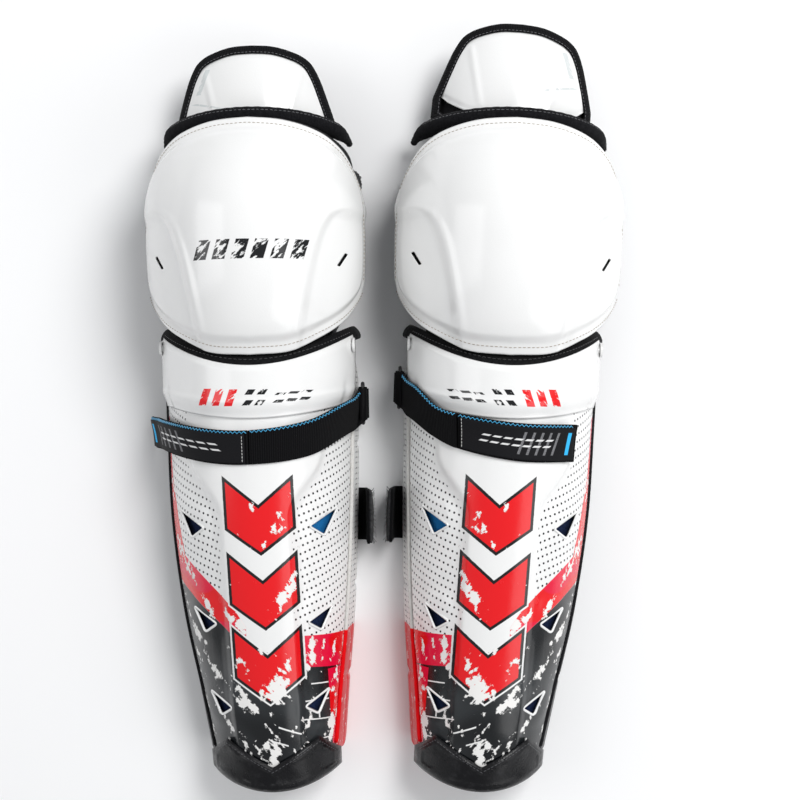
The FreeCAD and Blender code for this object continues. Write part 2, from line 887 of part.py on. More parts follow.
def main():
    shin_shell()
    shin_liner()
    collar()
    ankle_guard()
    wings()
    shell_piping()
    front_straps()
    calf_strap()
    knee_strap()
    strap_rivets()
    knee_cap()
    knee_liner()
    knee_slings()
    thigh_guard()
    pieces = place_guard("right", -1) + place_guard("left", 1)
    doc.recompute()
    check_document(pieces)
    os.makedirs("parts", exist_ok=True)
    for piece in pieces:
        piece.Shape.exportStep(f"parts/{piece.Label}.step")
    print(f"wrote {len(pieces)} pieces")


main()
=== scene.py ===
"""Looks for the pair of hockey shin guards: shells, padding, straps and stitching.

Shapes are written once for the right guard in millimetres, in that guard's own frame
(+X to the inner side of the leg, +Y up the leg, +Z out of the shin), and the left guard
takes the same shapes mirrored.
"""

import math

import bmesh
import bpy
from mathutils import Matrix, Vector, noise


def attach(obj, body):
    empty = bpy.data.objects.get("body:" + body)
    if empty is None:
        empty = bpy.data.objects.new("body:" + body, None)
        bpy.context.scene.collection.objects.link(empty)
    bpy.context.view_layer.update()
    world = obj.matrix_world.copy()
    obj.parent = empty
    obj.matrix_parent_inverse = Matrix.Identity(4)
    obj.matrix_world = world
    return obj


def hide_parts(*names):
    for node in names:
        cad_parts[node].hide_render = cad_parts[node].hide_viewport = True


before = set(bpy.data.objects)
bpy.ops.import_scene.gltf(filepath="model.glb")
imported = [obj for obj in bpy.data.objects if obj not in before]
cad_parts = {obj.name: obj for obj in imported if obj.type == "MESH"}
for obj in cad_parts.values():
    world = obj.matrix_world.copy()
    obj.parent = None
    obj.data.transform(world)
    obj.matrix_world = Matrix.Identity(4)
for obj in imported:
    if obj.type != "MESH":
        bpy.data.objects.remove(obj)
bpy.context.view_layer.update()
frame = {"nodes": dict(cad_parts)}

MILLIMETRE = 0.001

# Where each guard's own frame stands in the row: origin across and along, turn and mirroring.
# The splay is how far its knee cap is pressed open. The flap is how far its thigh guard is
# raised and turned on its hook patch.
GUARDS = {
    "right": {"across": -80.6, "along": -263.5, "turn": 1.0, "side": 1, "splay": 1.02, "flap": (0.0, 0.0)},
    "left": {"across": 74.4, "along": -263.5, "turn": -2.0, "side": -1, "splay": 1.06, "flap": (15.0, -4.0)},
}

FLAP_HINGE = 452.0

# Stations along the leg: distance, half width, height, sideways shift.
STATIONS = {
    "shin": [
        (-2, 45.5, 61, 8),
        (60, 53.5, 70, 5),
        (120, 62, 80, 2),
        (185, 67, 90, 0),
        (245, 68.5, 97, 0),
        (330, 69.5, 103, 0),
    ],
    "strap": [(218, 69.8, 96.4, 0), (245, 71.6, 100, 0), (262, 74.4, 104.4, 0), (300, 75.8, 108.4, 0)],
    "cap": [
        (290, 77, 103, 0),
        (320, 79.5, 119, 0),
        (360, 82, 129, 0),
        (400, 82, 130, 0),
        (435, 78, 114, 0),
        (460, 73, 92, 0),
    ],
    "knee": [(298, 53, 82, 0), (330, 60, 97, 0), (400, 66, 106, 0), (440, 67, 91, 0), (470, 66, 72, 0)],
    "thigh": [(446, 62.5, 57, 0), (480, 61, 56, 0), (520, 59, 50, 0)],
}


# ---------------------------------------------------------------- curves and surfaces


def ramp(value, low, high):
    """0 below low, 1 above high, and a smooth step between."""
    t = min(1.0, max(0.0, (value - low) / (high - low)))
    return t * t * (3 - 2 * t)


def through(points, value):
    """A smooth curve through (place, height) points, level beyond its ends."""
    if value <= points[0][0]:
        return points[0][1]
    for i in range(len(points) - 1):
        x0, y0 = points[i]
        x1, y1 = points[i + 1]
        if value > x1:
            continue
        before = points[i - 1] if i else points[i]
        after = points[i + 2] if i + 2 < len(points) else points[i + 1]
        span = x1 - x0
        m0 = (y1 - before[1]) / (x1 - before[0]) * span
        m1 = (after[1] - y0) / (after[0] - x0) * span
        t = (value - x0) / span
        return (
            (2 * t**3 - 3 * t**2 + 1) * y0
            + (t**3 - 2 * t**2 + t) * m0
            + (-2 * t**3 + 3 * t**2) * y1
            + (t**3 - t**2) * m1
        )
    return points[-1][1]


def section(family, along):
    """Half width, height and shift of a family's ellipse at a distance along the leg."""
    stations = STATIONS[family]
    return tuple(through([(s[0], s[k]) for s in stations], along) for k in (1, 2, 3))


def on_surface(family, along, angle, out=0.0):
    """The point of a family's surface at an angle from the crest, moved out."""
    half, height, shift = section(family, along)
    return Vector((shift + (half + out) * math.sin(angle), along, (height + out) * math.cos(angle)))


def angle_at_height(family, along, height, out=0.0):
    """The angle from the crest at which a family's surface is at a height above the floor."""
    tall = section(family, along)[1] + out
    return math.acos(max(-1.0, min(1.0, height / tall)))


def angle_at_across(family, along, across, out=0.0):
    """The angle from the crest at which a family's surface is at a distance across."""
    half, _, shift = section(family, along)
    return math.asin(max(-1.0, min(1.0, (across - shift) / (half + out))))


def out_direction(family, along, angle):
    """The outward normal of a family's section."""
    half, height, _ = section(family, along)
    return Vector((math.sin(angle) * height, 0, math.cos(angle) * half)).normalized()


# ---------------------------------------------------------------- mesh building


class Guard:
    """One guard's frame, and the pieces made in it."""

    def __init__(self, hand):
        place = GUARDS[hand]
        self.hand = hand
        self.side = place["side"]
        self.turn = math.radians(place["turn"])
        self.splay = place["splay"]
        self.origin = Vector((place["across"], place["along"], 0))
        self.flap_raise, self.flap_turn = place["flap"][0], math.radians(place["flap"][1])

    def world(self, point, body="shin"):
        """A point of this guard, in millimetres, as a place in the row, in metres."""
        x, y, z = point[0] * self.side, point[1], point[2]
        if body == "thigh":
            c, s = math.cos(self.flap_turn), math.sin(self.flap_turn)
            up = y - FLAP_HINGE
            x, y = x * c - up * s, FLAP_HINGE + x * s + up * c + self.flap_raise
        c, s = math.cos(self.turn), math.sin(self.turn)
        return (self.origin + Vector((x * c - y * s, x * s + y * c, z))) / 1000

    def make(self, name, shape, material, body, nodes=(), slot=None):
        """A mesh piece from (points, faces, marks).

        The marks are each point's place on the cloth, in millimetres.
        """
        points, faces, marks = shape
        mesh = bpy.data.meshes.new(f"{self.hand}_{name}")
        if self.side < 0:
            faces = [tuple(reversed(face)) for face in faces]
        mesh.from_pydata([self.world(p, body) for p in points], [], faces)
        flat = mesh.uv_layers.new(name="plan")
        laid = mesh.uv_layers.new(name="laid")
        for loop in mesh.loops:
            point = points[loop.vertex_index]
            flat.data[loop.index].uv = (point[0], point[1])
            laid.data[loop.index].uv = marks[loop.vertex_index]
        mesh.materials.append(material)
        mesh.validate()
        mesh.shade_smooth()
        piece = bpy.data.objects.new(f"{self.hand}_{name}_look", mesh)
        bpy.context.scene.collection.objects.link(piece)
        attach(piece, f"{self.hand}_{body}")
        if nodes:
            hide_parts(*[f"{self.hand}_{node}" for node in nodes])
        return piece

    def panel(self, name, shape, thickness, bevel, *finish, **more):
        """A piece made from a sheet, with a thickness on its inner side."""
        return settle(thicken(self.make(name, shape, *finish, **more), thickness, bevel))

    def cushion(self, share, *finish, **more):
        """A padded piece, made like any other; its share is not used."""
        return self.make(*finish, **more)


FILL_PRESSURE = 4.0
FILL_FRAMES = 20


def fill(piece, marks, held, cap):
    """Blows a padded piece up as cloth, held where held(mark) is 1.

    No point moves further than cap, in millimetres.
    """
    group = piece.vertex_groups.new(name="held")
    for index, mark in enumerate(marks):
        group.add([index], max(0.0, min(1.0, held(*mark))), "REPLACE")
    cloth = piece.modifiers.new("filling", "CLOTH")
    cloth.settings.vertex_group_mass = group.name
    cloth.settings.use_pressure = True
    cloth.settings.uniform_pressure_force = FILL_PRESSURE
    cloth.settings.effector_weights.gravity = 0.0
    cloth.settings.quality = 4
    cloth.point_cache.frame_start, cloth.point_cache.frame_end = 1, FILL_FRAMES
    for moment in range(1, FILL_FRAMES + 1):
        bpy.context.scene.frame_set(moment)
    blown = piece.evaluated_get(bpy.context.evaluated_depsgraph_get()).data
    places = [vertex.co.copy() for vertex in blown.vertices]
    piece.modifiers.remove(cloth)
    piece.vertex_groups.remove(group)
    for vertex, place in zip(piece.data.vertices, places):
        move = place - vertex.co
        vertex.co += move * min(1.0, cap * MILLIMETRE / max(move.length, 1e-9))
    bpy.context.scene.frame_set(1)


def splayed(guard, shape):
    """The same shape pressed open sideways as far as this guard's knee cap is."""
    points, faces, marks = shape
    return [Vector((p[0] * guard.splay, p[1], p[2])) for p in points], faces, marks


def grid(columns, rows, place, closed=False):
    """A sheet of quads; place(s, t) gives a point and its mark for s and t from 0 to 1."""
    points, faces, marks = [], [], []
    for i in range(columns + (0 if closed else 1)):
        for j in range(rows + 1):
            point, mark = place(i / columns, j / rows)
            points.append(Vector(point))
            marks.append(mark)
    wide = columns if closed else columns + 1
    for i in range(columns):
        for j in range(rows):
            a = i * (rows + 1) + j
            b = ((i + 1) % wide) * (rows + 1) + j
            faces.append((a, b, b + 1, a + 1))
    return points, faces, marks


def joined(shapes):
    """Several shapes as one."""
    points, faces, marks = [], [], []
    for more_points, more_faces, more_marks in shapes:
        start = len(points)
        points += more_points
        marks += more_marks
        faces += [tuple(start + i for i in face) for face in more_faces]
    return points, faces, marks


def tube(path, radius, sides=10, closed=False, squash=1.0):
    """A round tube along a path; radius may be a function of the distance along it."""
    path = [Vector(p) for p in path]
    count = len(path)
    points, faces, marks = [], [], []
    up = Vector((0, 0, 1))
    travelled = 0.0
    for i, here in enumerate(path):
        before = path[i - 1] if (i or closed) else path[i]
        after = path[(i + 1) % count] if (i + 1 < count or closed) else path[i]
        ahead = (after - before).normalized()
        side = ahead.cross(up)
        if side.length < 0.05:
            side = ahead.cross(Vector((1, 0, 0)))
        side.normalize()
        up = side.cross(ahead).normalized()
        if i:
            travelled += (here - path[i - 1]).length
        girth = radius(travelled) if callable(radius) else radius
        for k in range(sides):
            turn = 2 * math.pi * k / sides
            points.append(here + side * math.cos(turn) * girth + up * math.sin(turn) * girth * squash)
            marks.append((travelled, girth * turn))
    rings = count if closed else count - 1
    for i in range(rings):
        for k in range(sides):
            a, b = i * sides + k, i * sides + (k + 1) % sides
            c, d = ((i + 1) % count) * sides + (k + 1) % sides, ((i + 1) % count) * sides + k
            faces.append((a, d, c, b))
    if not closed:
        faces.append(tuple(range(sides)))
        faces.append(tuple(reversed(range((count - 1) * sides, count * sides))))
    return points, faces, marks


def even_steps(path, step):
    """Points every step along a path, with their directions."""
    path = [Vector(p) for p in path]
    found = []
    left = step / 2
    for a, b in zip(path, path[1:]):
        span = (b - a).length
        if span < 1e-6:
            continue
        while left <= span:
            found.append((a.lerp(b, left / span), (b - a) / span))
            left += step
        left -= span
    return found


def stitches(path, step=3.2, size=2.2, radius=0.32):
    """A row of short threads along a path."""
    shapes = []
    for middle, ahead in even_steps(path, step):
        run = [middle + ahead * size * k for k in (-0.5, -0.3, 0.0, 0.3, 0.5)]
        girths = iter((0.35, 0.85, 1.0, 0.85, 0.35))
        shapes.append(tube(run, lambda _, g=girths: radius * next(g), 6))
    return joined(shapes)


def zigzag(path, step=2.2, reach=0.8, radius=0.3, lift=None):
    """A sewn zigzag thread along a path, reaching to both sides of it."""
    corners = []
    for k, (middle, ahead) in enumerate(even_steps(path, step)):
        side = ahead.cross(lift or Vector((0, 0, 1))).normalized()
        corners.append(middle + side * reach * (1 if k % 2 else -1))
    return tube(corners, radius, 6)


def thicken(piece, thickness, bevel, offset=-1):
    """Gives a sheet its thickness and softens its edges, in millimetres."""
    solid = piece.modifiers.new("thickness", "SOLIDIFY")
    solid.thickness = thickness * MILLIMETRE
    solid.offset = offset
    solid.use_even_offset = True
    if bevel:
        soft = piece.modifiers.new("edges", "BEVEL")
        soft.width = bevel * MILLIMETRE
        soft.segments = 2
        soft.limit_method = "ANGLE"
        soft.angle_limit = math.radians(35)
    return piece


def settle(piece):
    """Applies a piece's modifiers."""
    graph = bpy.context.evaluated_depsgraph_get()
    mesh = bpy.data.meshes.new_from_object(piece.evaluated_get(graph))
    piece.modifiers.clear()
    piece.data = mesh
    mesh.shade_smooth()
    return piece


def cut_by(piece, shape, guard):
    """Cuts a closed shape out of a piece."""
    mesh = bpy.data.meshes.new("cutter")
    points, faces, _ = shape
    mesh.from_pydata([guard.world(p) for p in points], [], faces)
    tidy = bmesh.new()
    tidy.from_mesh(mesh)
    bmesh.ops.recalc_face_normals(tidy, faces=tidy.faces)
    tidy.to_mesh(mesh)
    tidy.free()
    cutter = bpy.data.objects.new("cutter", mesh)
    bpy.context.scene.collection.objects.link(cutter)
    cut = piece.modifiers.new("cut", "BOOLEAN")
    cut.operation = "DIFFERENCE"
    cut.solver = "EXACT"
    cut.object = cutter
    settle(piece)
    bpy.data.objects.remove(cutter)
    return piece


# ---------------------------------------------------------------- materials


class Number:
    """A number that a material works out; it adds, subtracts and multiplies like a plain one."""

    def __init__(self, paint, socket):
        self.paint, self.socket = paint, socket

    def __add__(self, other):
        return self.paint.maths("ADD", self, other)

    def __sub__(self, other):
        return self.paint.maths("SUBTRACT", self, other)

    def __rsub__(self, other):
        return self.paint.maths("SUBTRACT", other, self)

    def __mul__(self, other):
        return self.paint.maths("MULTIPLY", self, other)

    __radd__, __rmul__ = __add__, __mul__


class Paint:
    """A small builder for one node material."""

    def __init__(self, name, roughness=0.5, **sockets):
        self.material = bpy.data.materials.new(name)
        self.material.use_nodes = True
        self.tree = self.material.node_tree
        self.shader = self.tree.nodes["Principled BSDF"]
        self.shader.inputs["Roughness"].default_value = roughness
        for socket, value in sockets.items():
            self.shader.inputs[socket.replace("_", " ")].default_value = value

    def node(self, kind, **inputs):
        """A node with some inputs set: i0 is its first input, and From_Min its input "From Min"."""
        made = self.tree.nodes.new(kind)
        for key, value in inputs.items():
            counted = key[0] == "i" and key[1:].isdigit()
            self.feed(made.inputs[int(key[1:]) if counted else key.replace("_", " ")], value)
        return made

    def feed(self, socket, value):
        if isinstance(value, Number):
            value = value.socket
        if isinstance(value, bpy.types.NodeSocket):
            self.tree.links.new(value, socket)
        else:
            socket.default_value = value

    def place(self, name):
        """The plan or laid coordinates, in millimetres."""
        made = self.tree.nodes.new("ShaderNodeUVMap")
        made.uv_map = name
        return made.outputs[0]

    def body(self):
        """Coordinates in the solid, in metres."""
        return self.tree.nodes.new("ShaderNodeTexCoord").outputs["Object"]

    def solid(self):
        """Coordinates in the solid, in millimetres."""
        return self.vector("MULTIPLY", self.body(), (1000.0, 1000.0, 1000.0))

    def maths(self, operation, a, b=0.0):
        made = self.node("ShaderNodeMath", i0=a, i1=b)
        made.operation = operation
        return Number(self, made.outputs[0])

    def vector(self, operation, a, b=(0, 0, 0)):
        made = self.node("ShaderNodeVectorMath", i0=a, i1=b)
        made.operation = operation
        if operation in ("DOT_PRODUCT", "LENGTH"):
            return Number(self, made.outputs["Value"])
        return made.outputs["Vector"]

    def stretch(self, where, scale, turn=0.0):
        """Coordinates turned, then scaled."""
        if turn:
            where = self.node("ShaderNodeMapping", Vector=where, Rotation=(0, 0, turn)).outputs[0]
        return self.node("ShaderNodeMapping", Vector=where, Scale=scale).outputs[0]

    def centred(self, value):
        """A number on two axes, centred on zero, for pushing coordinates about."""
        across = value - 0.5
        return self.combined(across, across * -1.0)

    def combined(self, across, along):
        return self.node("ShaderNodeCombineXYZ", i0=across, i1=along).outputs[0]

    def folded(self, across, along):
        """Coordinates with both sides of zero laid over each other."""
        return self.combined(self.maths("ABSOLUTE", across), along)

    def split(self, where):
        """The first two coordinates of a place."""
        parts = self.node("ShaderNodeSeparateXYZ", i0=where).outputs
        return Number(self, parts[0]), Number(self, parts[1])

    def noise(self, where, scale, detail=3.0, roughness=0.5):
        made = self.node("ShaderNodeTexNoise", Vector=where, Scale=scale, Detail=detail, Roughness=roughness)
        return Number(self, made.outputs["Fac"])

    def cells(self, where, scale, randomness=1.0):
        made = self.node("ShaderNodeTexVoronoi", Vector=where, Scale=scale, Randomness=randomness)
        return Number(self, made.outputs["Distance"])

    def step(self, value, low, high):
        """0 below low and 1 above high."""
        made = self.node("ShaderNodeMapRange", Value=value, From_Min=low, From_Max=high)
        made.interpolation_type = "SMOOTHSTEP"
        return Number(self, made.outputs[0])

    def mix(self, amount, low, high):
        made = self.tree.nodes.new("ShaderNodeMix")
        made.data_type = "RGBA"
        self.feed(made.inputs["Factor"], amount)
        for socket, value in (("A", low), ("B", high)):
            self.feed(made.inputs[socket], value if isinstance(value, bpy.types.NodeSocket) else (*value, 1))
        return made.outputs["Result"]

    def colour(self, value):
        self.feed(self.shader.inputs["Base Color"], value)

    def rough(self, value):
        self.feed(self.shader.inputs["Roughness"], value)

    def bump(self, height, depth, strength=1.0):
        """Adds a relief, its depth in metres, on top of any the material has."""
        made = self.node("ShaderNodeBump", Height=height, Strength=strength, Distance=depth)
        normal = self.shader.inputs["Normal"]
        if normal.links:
            self.tree.links.new(normal.links[0].from_socket, made.inputs["Normal"])
        self.tree.links.new(made.outputs[0], normal)

    def inside(self, where, corners):
        """How far a place is inside a convex outline, in millimetres; negative outside."""
        centre = [sum(c[k] for c in corners) / len(corners) for k in (0, 1)]
        found = None
        for (x0, y0), (x1, y1) in zip(corners, corners[1:] + corners[:1]):
            across, up = y1 - y0, x0 - x1
            size = math.hypot(across, up)
            across, up = across / size, up / size
            if across * (centre[0] - x0) + up * (centre[1] - y0) < 0:
                across, up = -across, -up
            reach = self.vector("DOT_PRODUCT", where, (across, up, 0)) - (across * x0 + up * y0)
            found = reach if found is None else self.maths("MINIMUM", found, reach)
        return found

    def inside_any(self, where, outlines):
        """How far a place is inside the nearest of several convex outlines."""
        found = None
        for corners in outlines:
            reach = self.inside(where, corners)
            found = reach if found is None else self.maths("MAXIMUM", found, reach)
        return found


WHITE = (0.85, 0.85, 0.84)
RED = (0.80, 0.004, 0.008)
CRIMSON = (0.42, 0.008, 0.016)
ROSE = (0.78, 0.004, 0.045)
INK = (0.004, 0.005, 0.006)
BLUE = (0.04, 0.46, 0.86)
NAVY_TAG = (0.01, 0.13, 0.34)


def stripe(x0, y0, x1, y1, wide, lean=0.0):
    """A slanted bar from its lower to its upper end, wide across."""
    return [(x0, y0), (x0 + wide, y0), (x1 + wide + lean, y1), (x1 + lean, y1)]


def ridge_line(along):
    """How far to the inner side the ridge's middle line lies."""
    return 2.5 + (212 - along) * 0.03


def chevrons():
    """The stacked chevrons, folded about the ridge's middle line: distance from it, place along."""
    lows = [74.0 + 51.0 * k for k in range(3)]
    return [[(-8, low - 15), (21.5, low + 7), (21.5, low + 38), (-8, low + 13.3)] for low in lows]


LATERAL_RED = [
    [(-76, 258), (-62.6, 258), (-60.6, 215), (-76, 215)],
    [(-76, 216), (-60.6, 216), (-51.5, 161.5), (-56, 147), (-76, 147)],
    [(-52, 162.5), (-27, 139), (-16, 128.5), (-8, 116), (-8, 102), (-33, 123.4), (-60, 147)],
]
LATERAL_DARK = [
    [(-80, 149), (-60, 147), (-33, 123.4), (-33, 10), (-80, 10)],
    [(-33.2, 123.4), (-11, 105), (-9, 66), (-14, 10), (-33.2, 10)],
    [(-12, 104), (24, 93), (24, 10), (-12, 10)],
    [(-34, 66), (80, 58), (80, 0), (-34, 0)],
]
MEDIAL_DARK = [
    [(23, 90), (80, 84), (80, 10), (18, 10)],
]
MEDIAL_RED = [
    [(25, 108), (80, 105), (80, 79), (22, 87)],
    [(45, 82), (80, 82), (80, 10), (47.5, 10)],
]
PALE_LINES = [
    [(34, 74), (45, 73.2), (45, 72.5), (34, 73.3)],
    [(30, 62.5), (45, 61.5), (45, 60.8), (30, 61.8)],
    [(27, 50), (46, 47.6), (46, 46.9), (27, 49.3)],
    [(38, 62), (38.7, 62), (39.2, 49), (38.5, 49)],
    [(12, 46.5), (27, 40.5), (27, 39.6), (12, 45.6)],
    [(6, 37.5), (18, 33), (18, 32.2), (6, 36.7)],
    [(40, 34), (46, 34), (46, 33.4), (40, 33.4)],
]


def scuffs(paint, where, scale, low, high):
    """Streaky wear marks: 1 where the surface is scraped."""
    streaks = paint.noise(paint.stretch(where, (1, 0.28, 1), 0.5), scale, 5, 0.62)
    patches = paint.noise(where, scale * 0.35, 3, 0.6)
    both = streaks * 0.62 + patches * 0.38
    return paint.step(both, low, high)


def dots(paint, where, pitch, radius, turn=0.0):
    """Small round holes in rows: 1 in a hole."""
    cell = paint.stretch(where, (1 / pitch[0], 1 / pitch[1], 1), turn)
    cell = paint.vector("SUBTRACT", paint.vector("FRACTION", cell), (0.5, 0.5, 0))
    reach = paint.vector("LENGTH", paint.vector("MULTIPLY", cell, (*pitch, 0)))
    return 1.0 - paint.step(reach, radius * 0.75, radius * 1.2)


def scrapes(paint, where, turn):
    """Ragged scrapes that run one way, with small flecks between: high where the print is gone."""
    ragged = paint.vector("MULTIPLY", paint.centred(paint.noise(where, 0.9, 3, 0.6)), (3.2, 3.2, 0))
    torn = paint.vector("ADD", where, ragged)
    long_marks = paint.noise(paint.stretch(torn, (1, 0.3, 1), turn), 0.085, 3, 0.55)
    flecks = paint.noise(paint.stretch(torn, (1, 0.5, 1), -turn), 0.26, 4, 0.6)
    return long_marks * 0.66 + flecks * 0.34


def shell_skin():
    """The printed and perforated skin of the shin shell, its holes painted near black as painted shade."""
    paint = Paint("shell_skin", 0.34, Coat_Weight=0.3, Coat_Roughness=0.14, Specular_IOR_Level=0.45)
    plan, laid = paint.place("plan"), paint.place("laid")
    across, along = paint.split(plan)
    warp = paint.noise(laid, 0.35, 3, 0.6)
    bent = paint.vector("ADD", plan, paint.vector("MULTIPLY", paint.centred(warp), (0.5, 0.5, 0)))
    shade = paint.noise(laid, 0.02, 3, 0.5)
    colour = paint.mix(shade, (0.83, 0.83, 0.82), (0.88, 0.88, 0.875))
    grime = scuffs(paint, laid, 0.12, 0.60, 0.72)
    colour = paint.mix(grime * 0.18, colour, (0.6, 0.58, 0.55))
    red = paint.step(paint.inside_any(bent, LATERAL_RED + MEDIAL_RED), -0.2, 0.2)
    dark = paint.step(paint.inside_any(bent, LATERAL_DARK + MEDIAL_DARK), -0.2, 0.2)
    facet = paint.step(paint.noise(paint.stretch(plan, (1, 1, 1), 0.8), 0.03, 0, 0.0), 0.47, 0.5)
    smoke = paint.noise(paint.stretch(plan, (1, 0.5, 1), -0.8), 0.025, 2, 0.5)
    colour = paint.mix(dark, colour, paint.mix(paint.step(smoke, 0.4, 0.65), INK, (0.03, 0.034, 0.037)))
    colour = paint.mix(red, colour, paint.mix(facet, RED, ROSE))
    lines = paint.step(paint.inside_any(bent, PALE_LINES), -0.25, 0.05)
    colour = paint.mix(lines * dark, colour, WHITE)
    bent_across, bent_along = paint.split(bent)
    off_line = bent_across - ridge_line(0) + bent_along * (ridge_line(0) - ridge_line(1))
    mark = paint.inside_any(paint.folded(off_line, bent_along), chevrons())
    keyline = paint.step(mark, -3.4, -3.1)
    colour = paint.mix(keyline, colour, WHITE)
    colour = paint.mix(paint.step(mark, -2.2, -1.9), colour, INK)
    colour = paint.mix(paint.step(mark, -0.2, 0.1), colour, RED)
    printed = paint.maths("MAXIMUM", paint.maths("MAXIMUM", red, dark), keyline)
    outer_side = paint.step(across, 6.0, -10.0)
    wear = scrapes(paint, laid, -0.62) * outer_side + scrapes(paint, laid, 0.5) * (1.0 - outer_side)
    low_down = paint.step(along, 225, 40) * 0.06
    worn = paint.step(wear + low_down, 0.6, 0.608) * printed
    colour = paint.mix(worn, colour, (0.86, 0.85, 0.83))
    ridge_edge = 24.0 + paint.step(along, 188, 226) * 22.0
    flank = paint.step(paint.maths("ABSOLUTE", across) - ridge_edge, 0.0, 0.6)
    unprinted = flank * (1.0 - printed) * paint.step(along, 96, 98)
    # The perforations are painted near black: painted shade inside each hole, over the dark liner behind it.
    shaded_holes = dots(paint, paint.folded(*paint.split(laid)), (4.0, 5.0), 0.8, -0.3) * unprinted
    colour = paint.mix(shaded_holes, colour, (0.006, 0.006, 0.008))
    paint.colour(colour)
    paint.rough(paint.step(worn + grime * 0.3, -0.7, 1.6))
    fine = paint.noise(laid, 1.6, 2, 0.5)
    paint.bump(shaded_holes * -1.0 + fine * 0.1, 0.0004)
    paint.bump(worn, 0.0002, 0.6)
    return paint.material


def moulded_white(name, marks=(), dark_marks=(), wear=0.63, faint_marks=()):
    """Glossy white moulded plastic, with printed marks rubbed through."""
    paint = Paint(name, 0.3, Coat_Weight=0.35, Coat_Roughness=0.12)
    plan, laid = paint.place("plan"), paint.place("laid")
    shade = paint.noise(laid, 0.018, 3, 0.5)
    colour = paint.mix(shade, (0.83, 0.83, 0.82), (0.88, 0.88, 0.875))
    hairlines = scuffs(paint, laid, 0.2, 0.64, 0.72)
    colour = paint.mix(hairlines * 0.22, colour, (0.52, 0.51, 0.5))
    streaks = paint.noise(paint.stretch(laid, (1, 0.25, 1), 0.9), 0.3, 5, 0.65)
    kept = 1.0 - paint.step(streaks, wear - 0.08, wear - 0.05)
    for outlines, ink in ((marks, RED), (dark_marks, INK), (faint_marks, (0.66, 0.69, 0.69))):
        if outlines:
            print_mask = paint.step(paint.inside_any(plan, outlines), -0.15, 0.15)
            colour = paint.mix(print_mask * kept, colour, ink)
    paint.colour(colour)
    paint.rough(paint.step(hairlines, -0.9, 2.6))
    paint.bump(paint.noise(laid, 0.9, 2, 0.5), 0.00012, 0.5)
    paint.bump(hairlines, 0.00012, 0.5)
    return paint.material


def collar_print():
    """The collar's red and dark bars."""
    red = [stripe(-36 + 9 * k, 265 - k * 0.4, -32 + 9 * k, 276 - k * 0.4, 5.5) for k in range(3)]
    dark = [stripe(-6 + 8 * k, 264.5, -3 + 8 * k, 268, 5.0) for k in range(2)]
    dark += [stripe(-4 + 8 * k, 271.5, -1.5 + 8 * k, 275, 5.0) for k in range(2)]
    dark += [stripe(14 + 8.5 * k, 266 + k * 0.8, 16 + 8.5 * k, 268 + k * 0.8, 6.0) for k in range(3)]
    dark += [stripe(15.5 + 8.5 * k, 271 + k * 0.8, 17.5 + 8.5 * k, 272.6 + k * 0.8, 6.0) for k in range(3)]
    return red, dark


def knee_print():
    """The row of bars on the right knee cap."""
    return [stripe(-34 + 12.5 * k, 358.5, -30 + 12.5 * k, 371, 8.6) for k in range(6)]


# Where the white piping turns red, and the blue tag that shows through the upper inner vents.
LOW_DOWN = [(20, 106), (120, 106), (120, -20), (20, -20)]
TAG = [(30, 204), (62, 204), (62, 168), (30, 168)]


def plate_print():
    """Faint strokes on the thigh plate."""
    return [stripe(-44, 474, -22, 468, 5.0), stripe(-40, 480, -33, 497, 3.5)]


def webbing(name, tint=(0.002, 0.002, 0.0025), ribs=1.5, lighter=(0.011, 0.011, 0.012)):
    """Woven ribbed tape; its ribs run across the run of the tape."""
    paint = Paint(name, 0.88, Sheen_Weight=0.02, Sheen_Roughness=0.5, Specular_IOR_Level=0.06)
    laid = paint.place("laid")
    along, across = paint.split(laid)
    rib = paint.maths("SINE", along * (2 * math.pi / ribs))
    yarn = paint.maths("SINE", across * (2 * math.pi / 0.9))
    weave = rib * 0.5 + yarn * 0.18
    fuzz = paint.noise(laid, 1.3, 4, 0.6)
    amount = paint.step(weave, -0.7, 0.8) + fuzz * 0.4
    paint.colour(paint.mix(amount * 0.6, tint, lighter))
    paint.bump(weave, 0.00035)
    paint.bump(fuzz, 0.0002, 0.6)
    return paint.material


def printed_tab():
    """The closing tab's patch: bars, slashes and fine stitched borders."""
    paint = Paint("tab_patch", 0.62, Specular_IOR_Level=0.12)
    laid = paint.place("laid")
    grain = paint.noise(laid, 1.2, 4, 0.6)
    colour = paint.mix(grain, (0.004, 0.004, 0.005), (0.012, 0.012, 0.014))
    slashes = [stripe(54 - 5.2 * k, 3.5, 58 - 5.2 * k, 18.0, 1.5) for k in range(5)]
    faded = paint.step(paint.inside_any(laid, slashes), -0.1, 0.1) * 0.8
    colour = paint.mix(faded * grain, colour, (0.42, 0.42, 0.44))
    bars = [stripe(11 + 6.2 * k, 8.4, 12.4 + 6.2 * k, 9.6, 4.4) for k in range(7)]
    bars += [stripe(12.6 + 6.2 * k, 12.4, 14 + 6.2 * k, 13.6, 4.4) for k in range(7)]
    colour = paint.mix(paint.step(paint.inside_any(laid, bars), -0.1, 0.1), colour, (0.72, 0.72, 0.72))
    end_bar = paint.step(paint.inside(laid, stripe(63.5, 3.6, 65.2, 18.0, 2.4)), -0.1, 0.1)
    colour = paint.mix(end_bar, colour, BLUE)
    paint.colour(colour)
    paint.bump(grain, 0.00012, 0.7)
    return paint.material


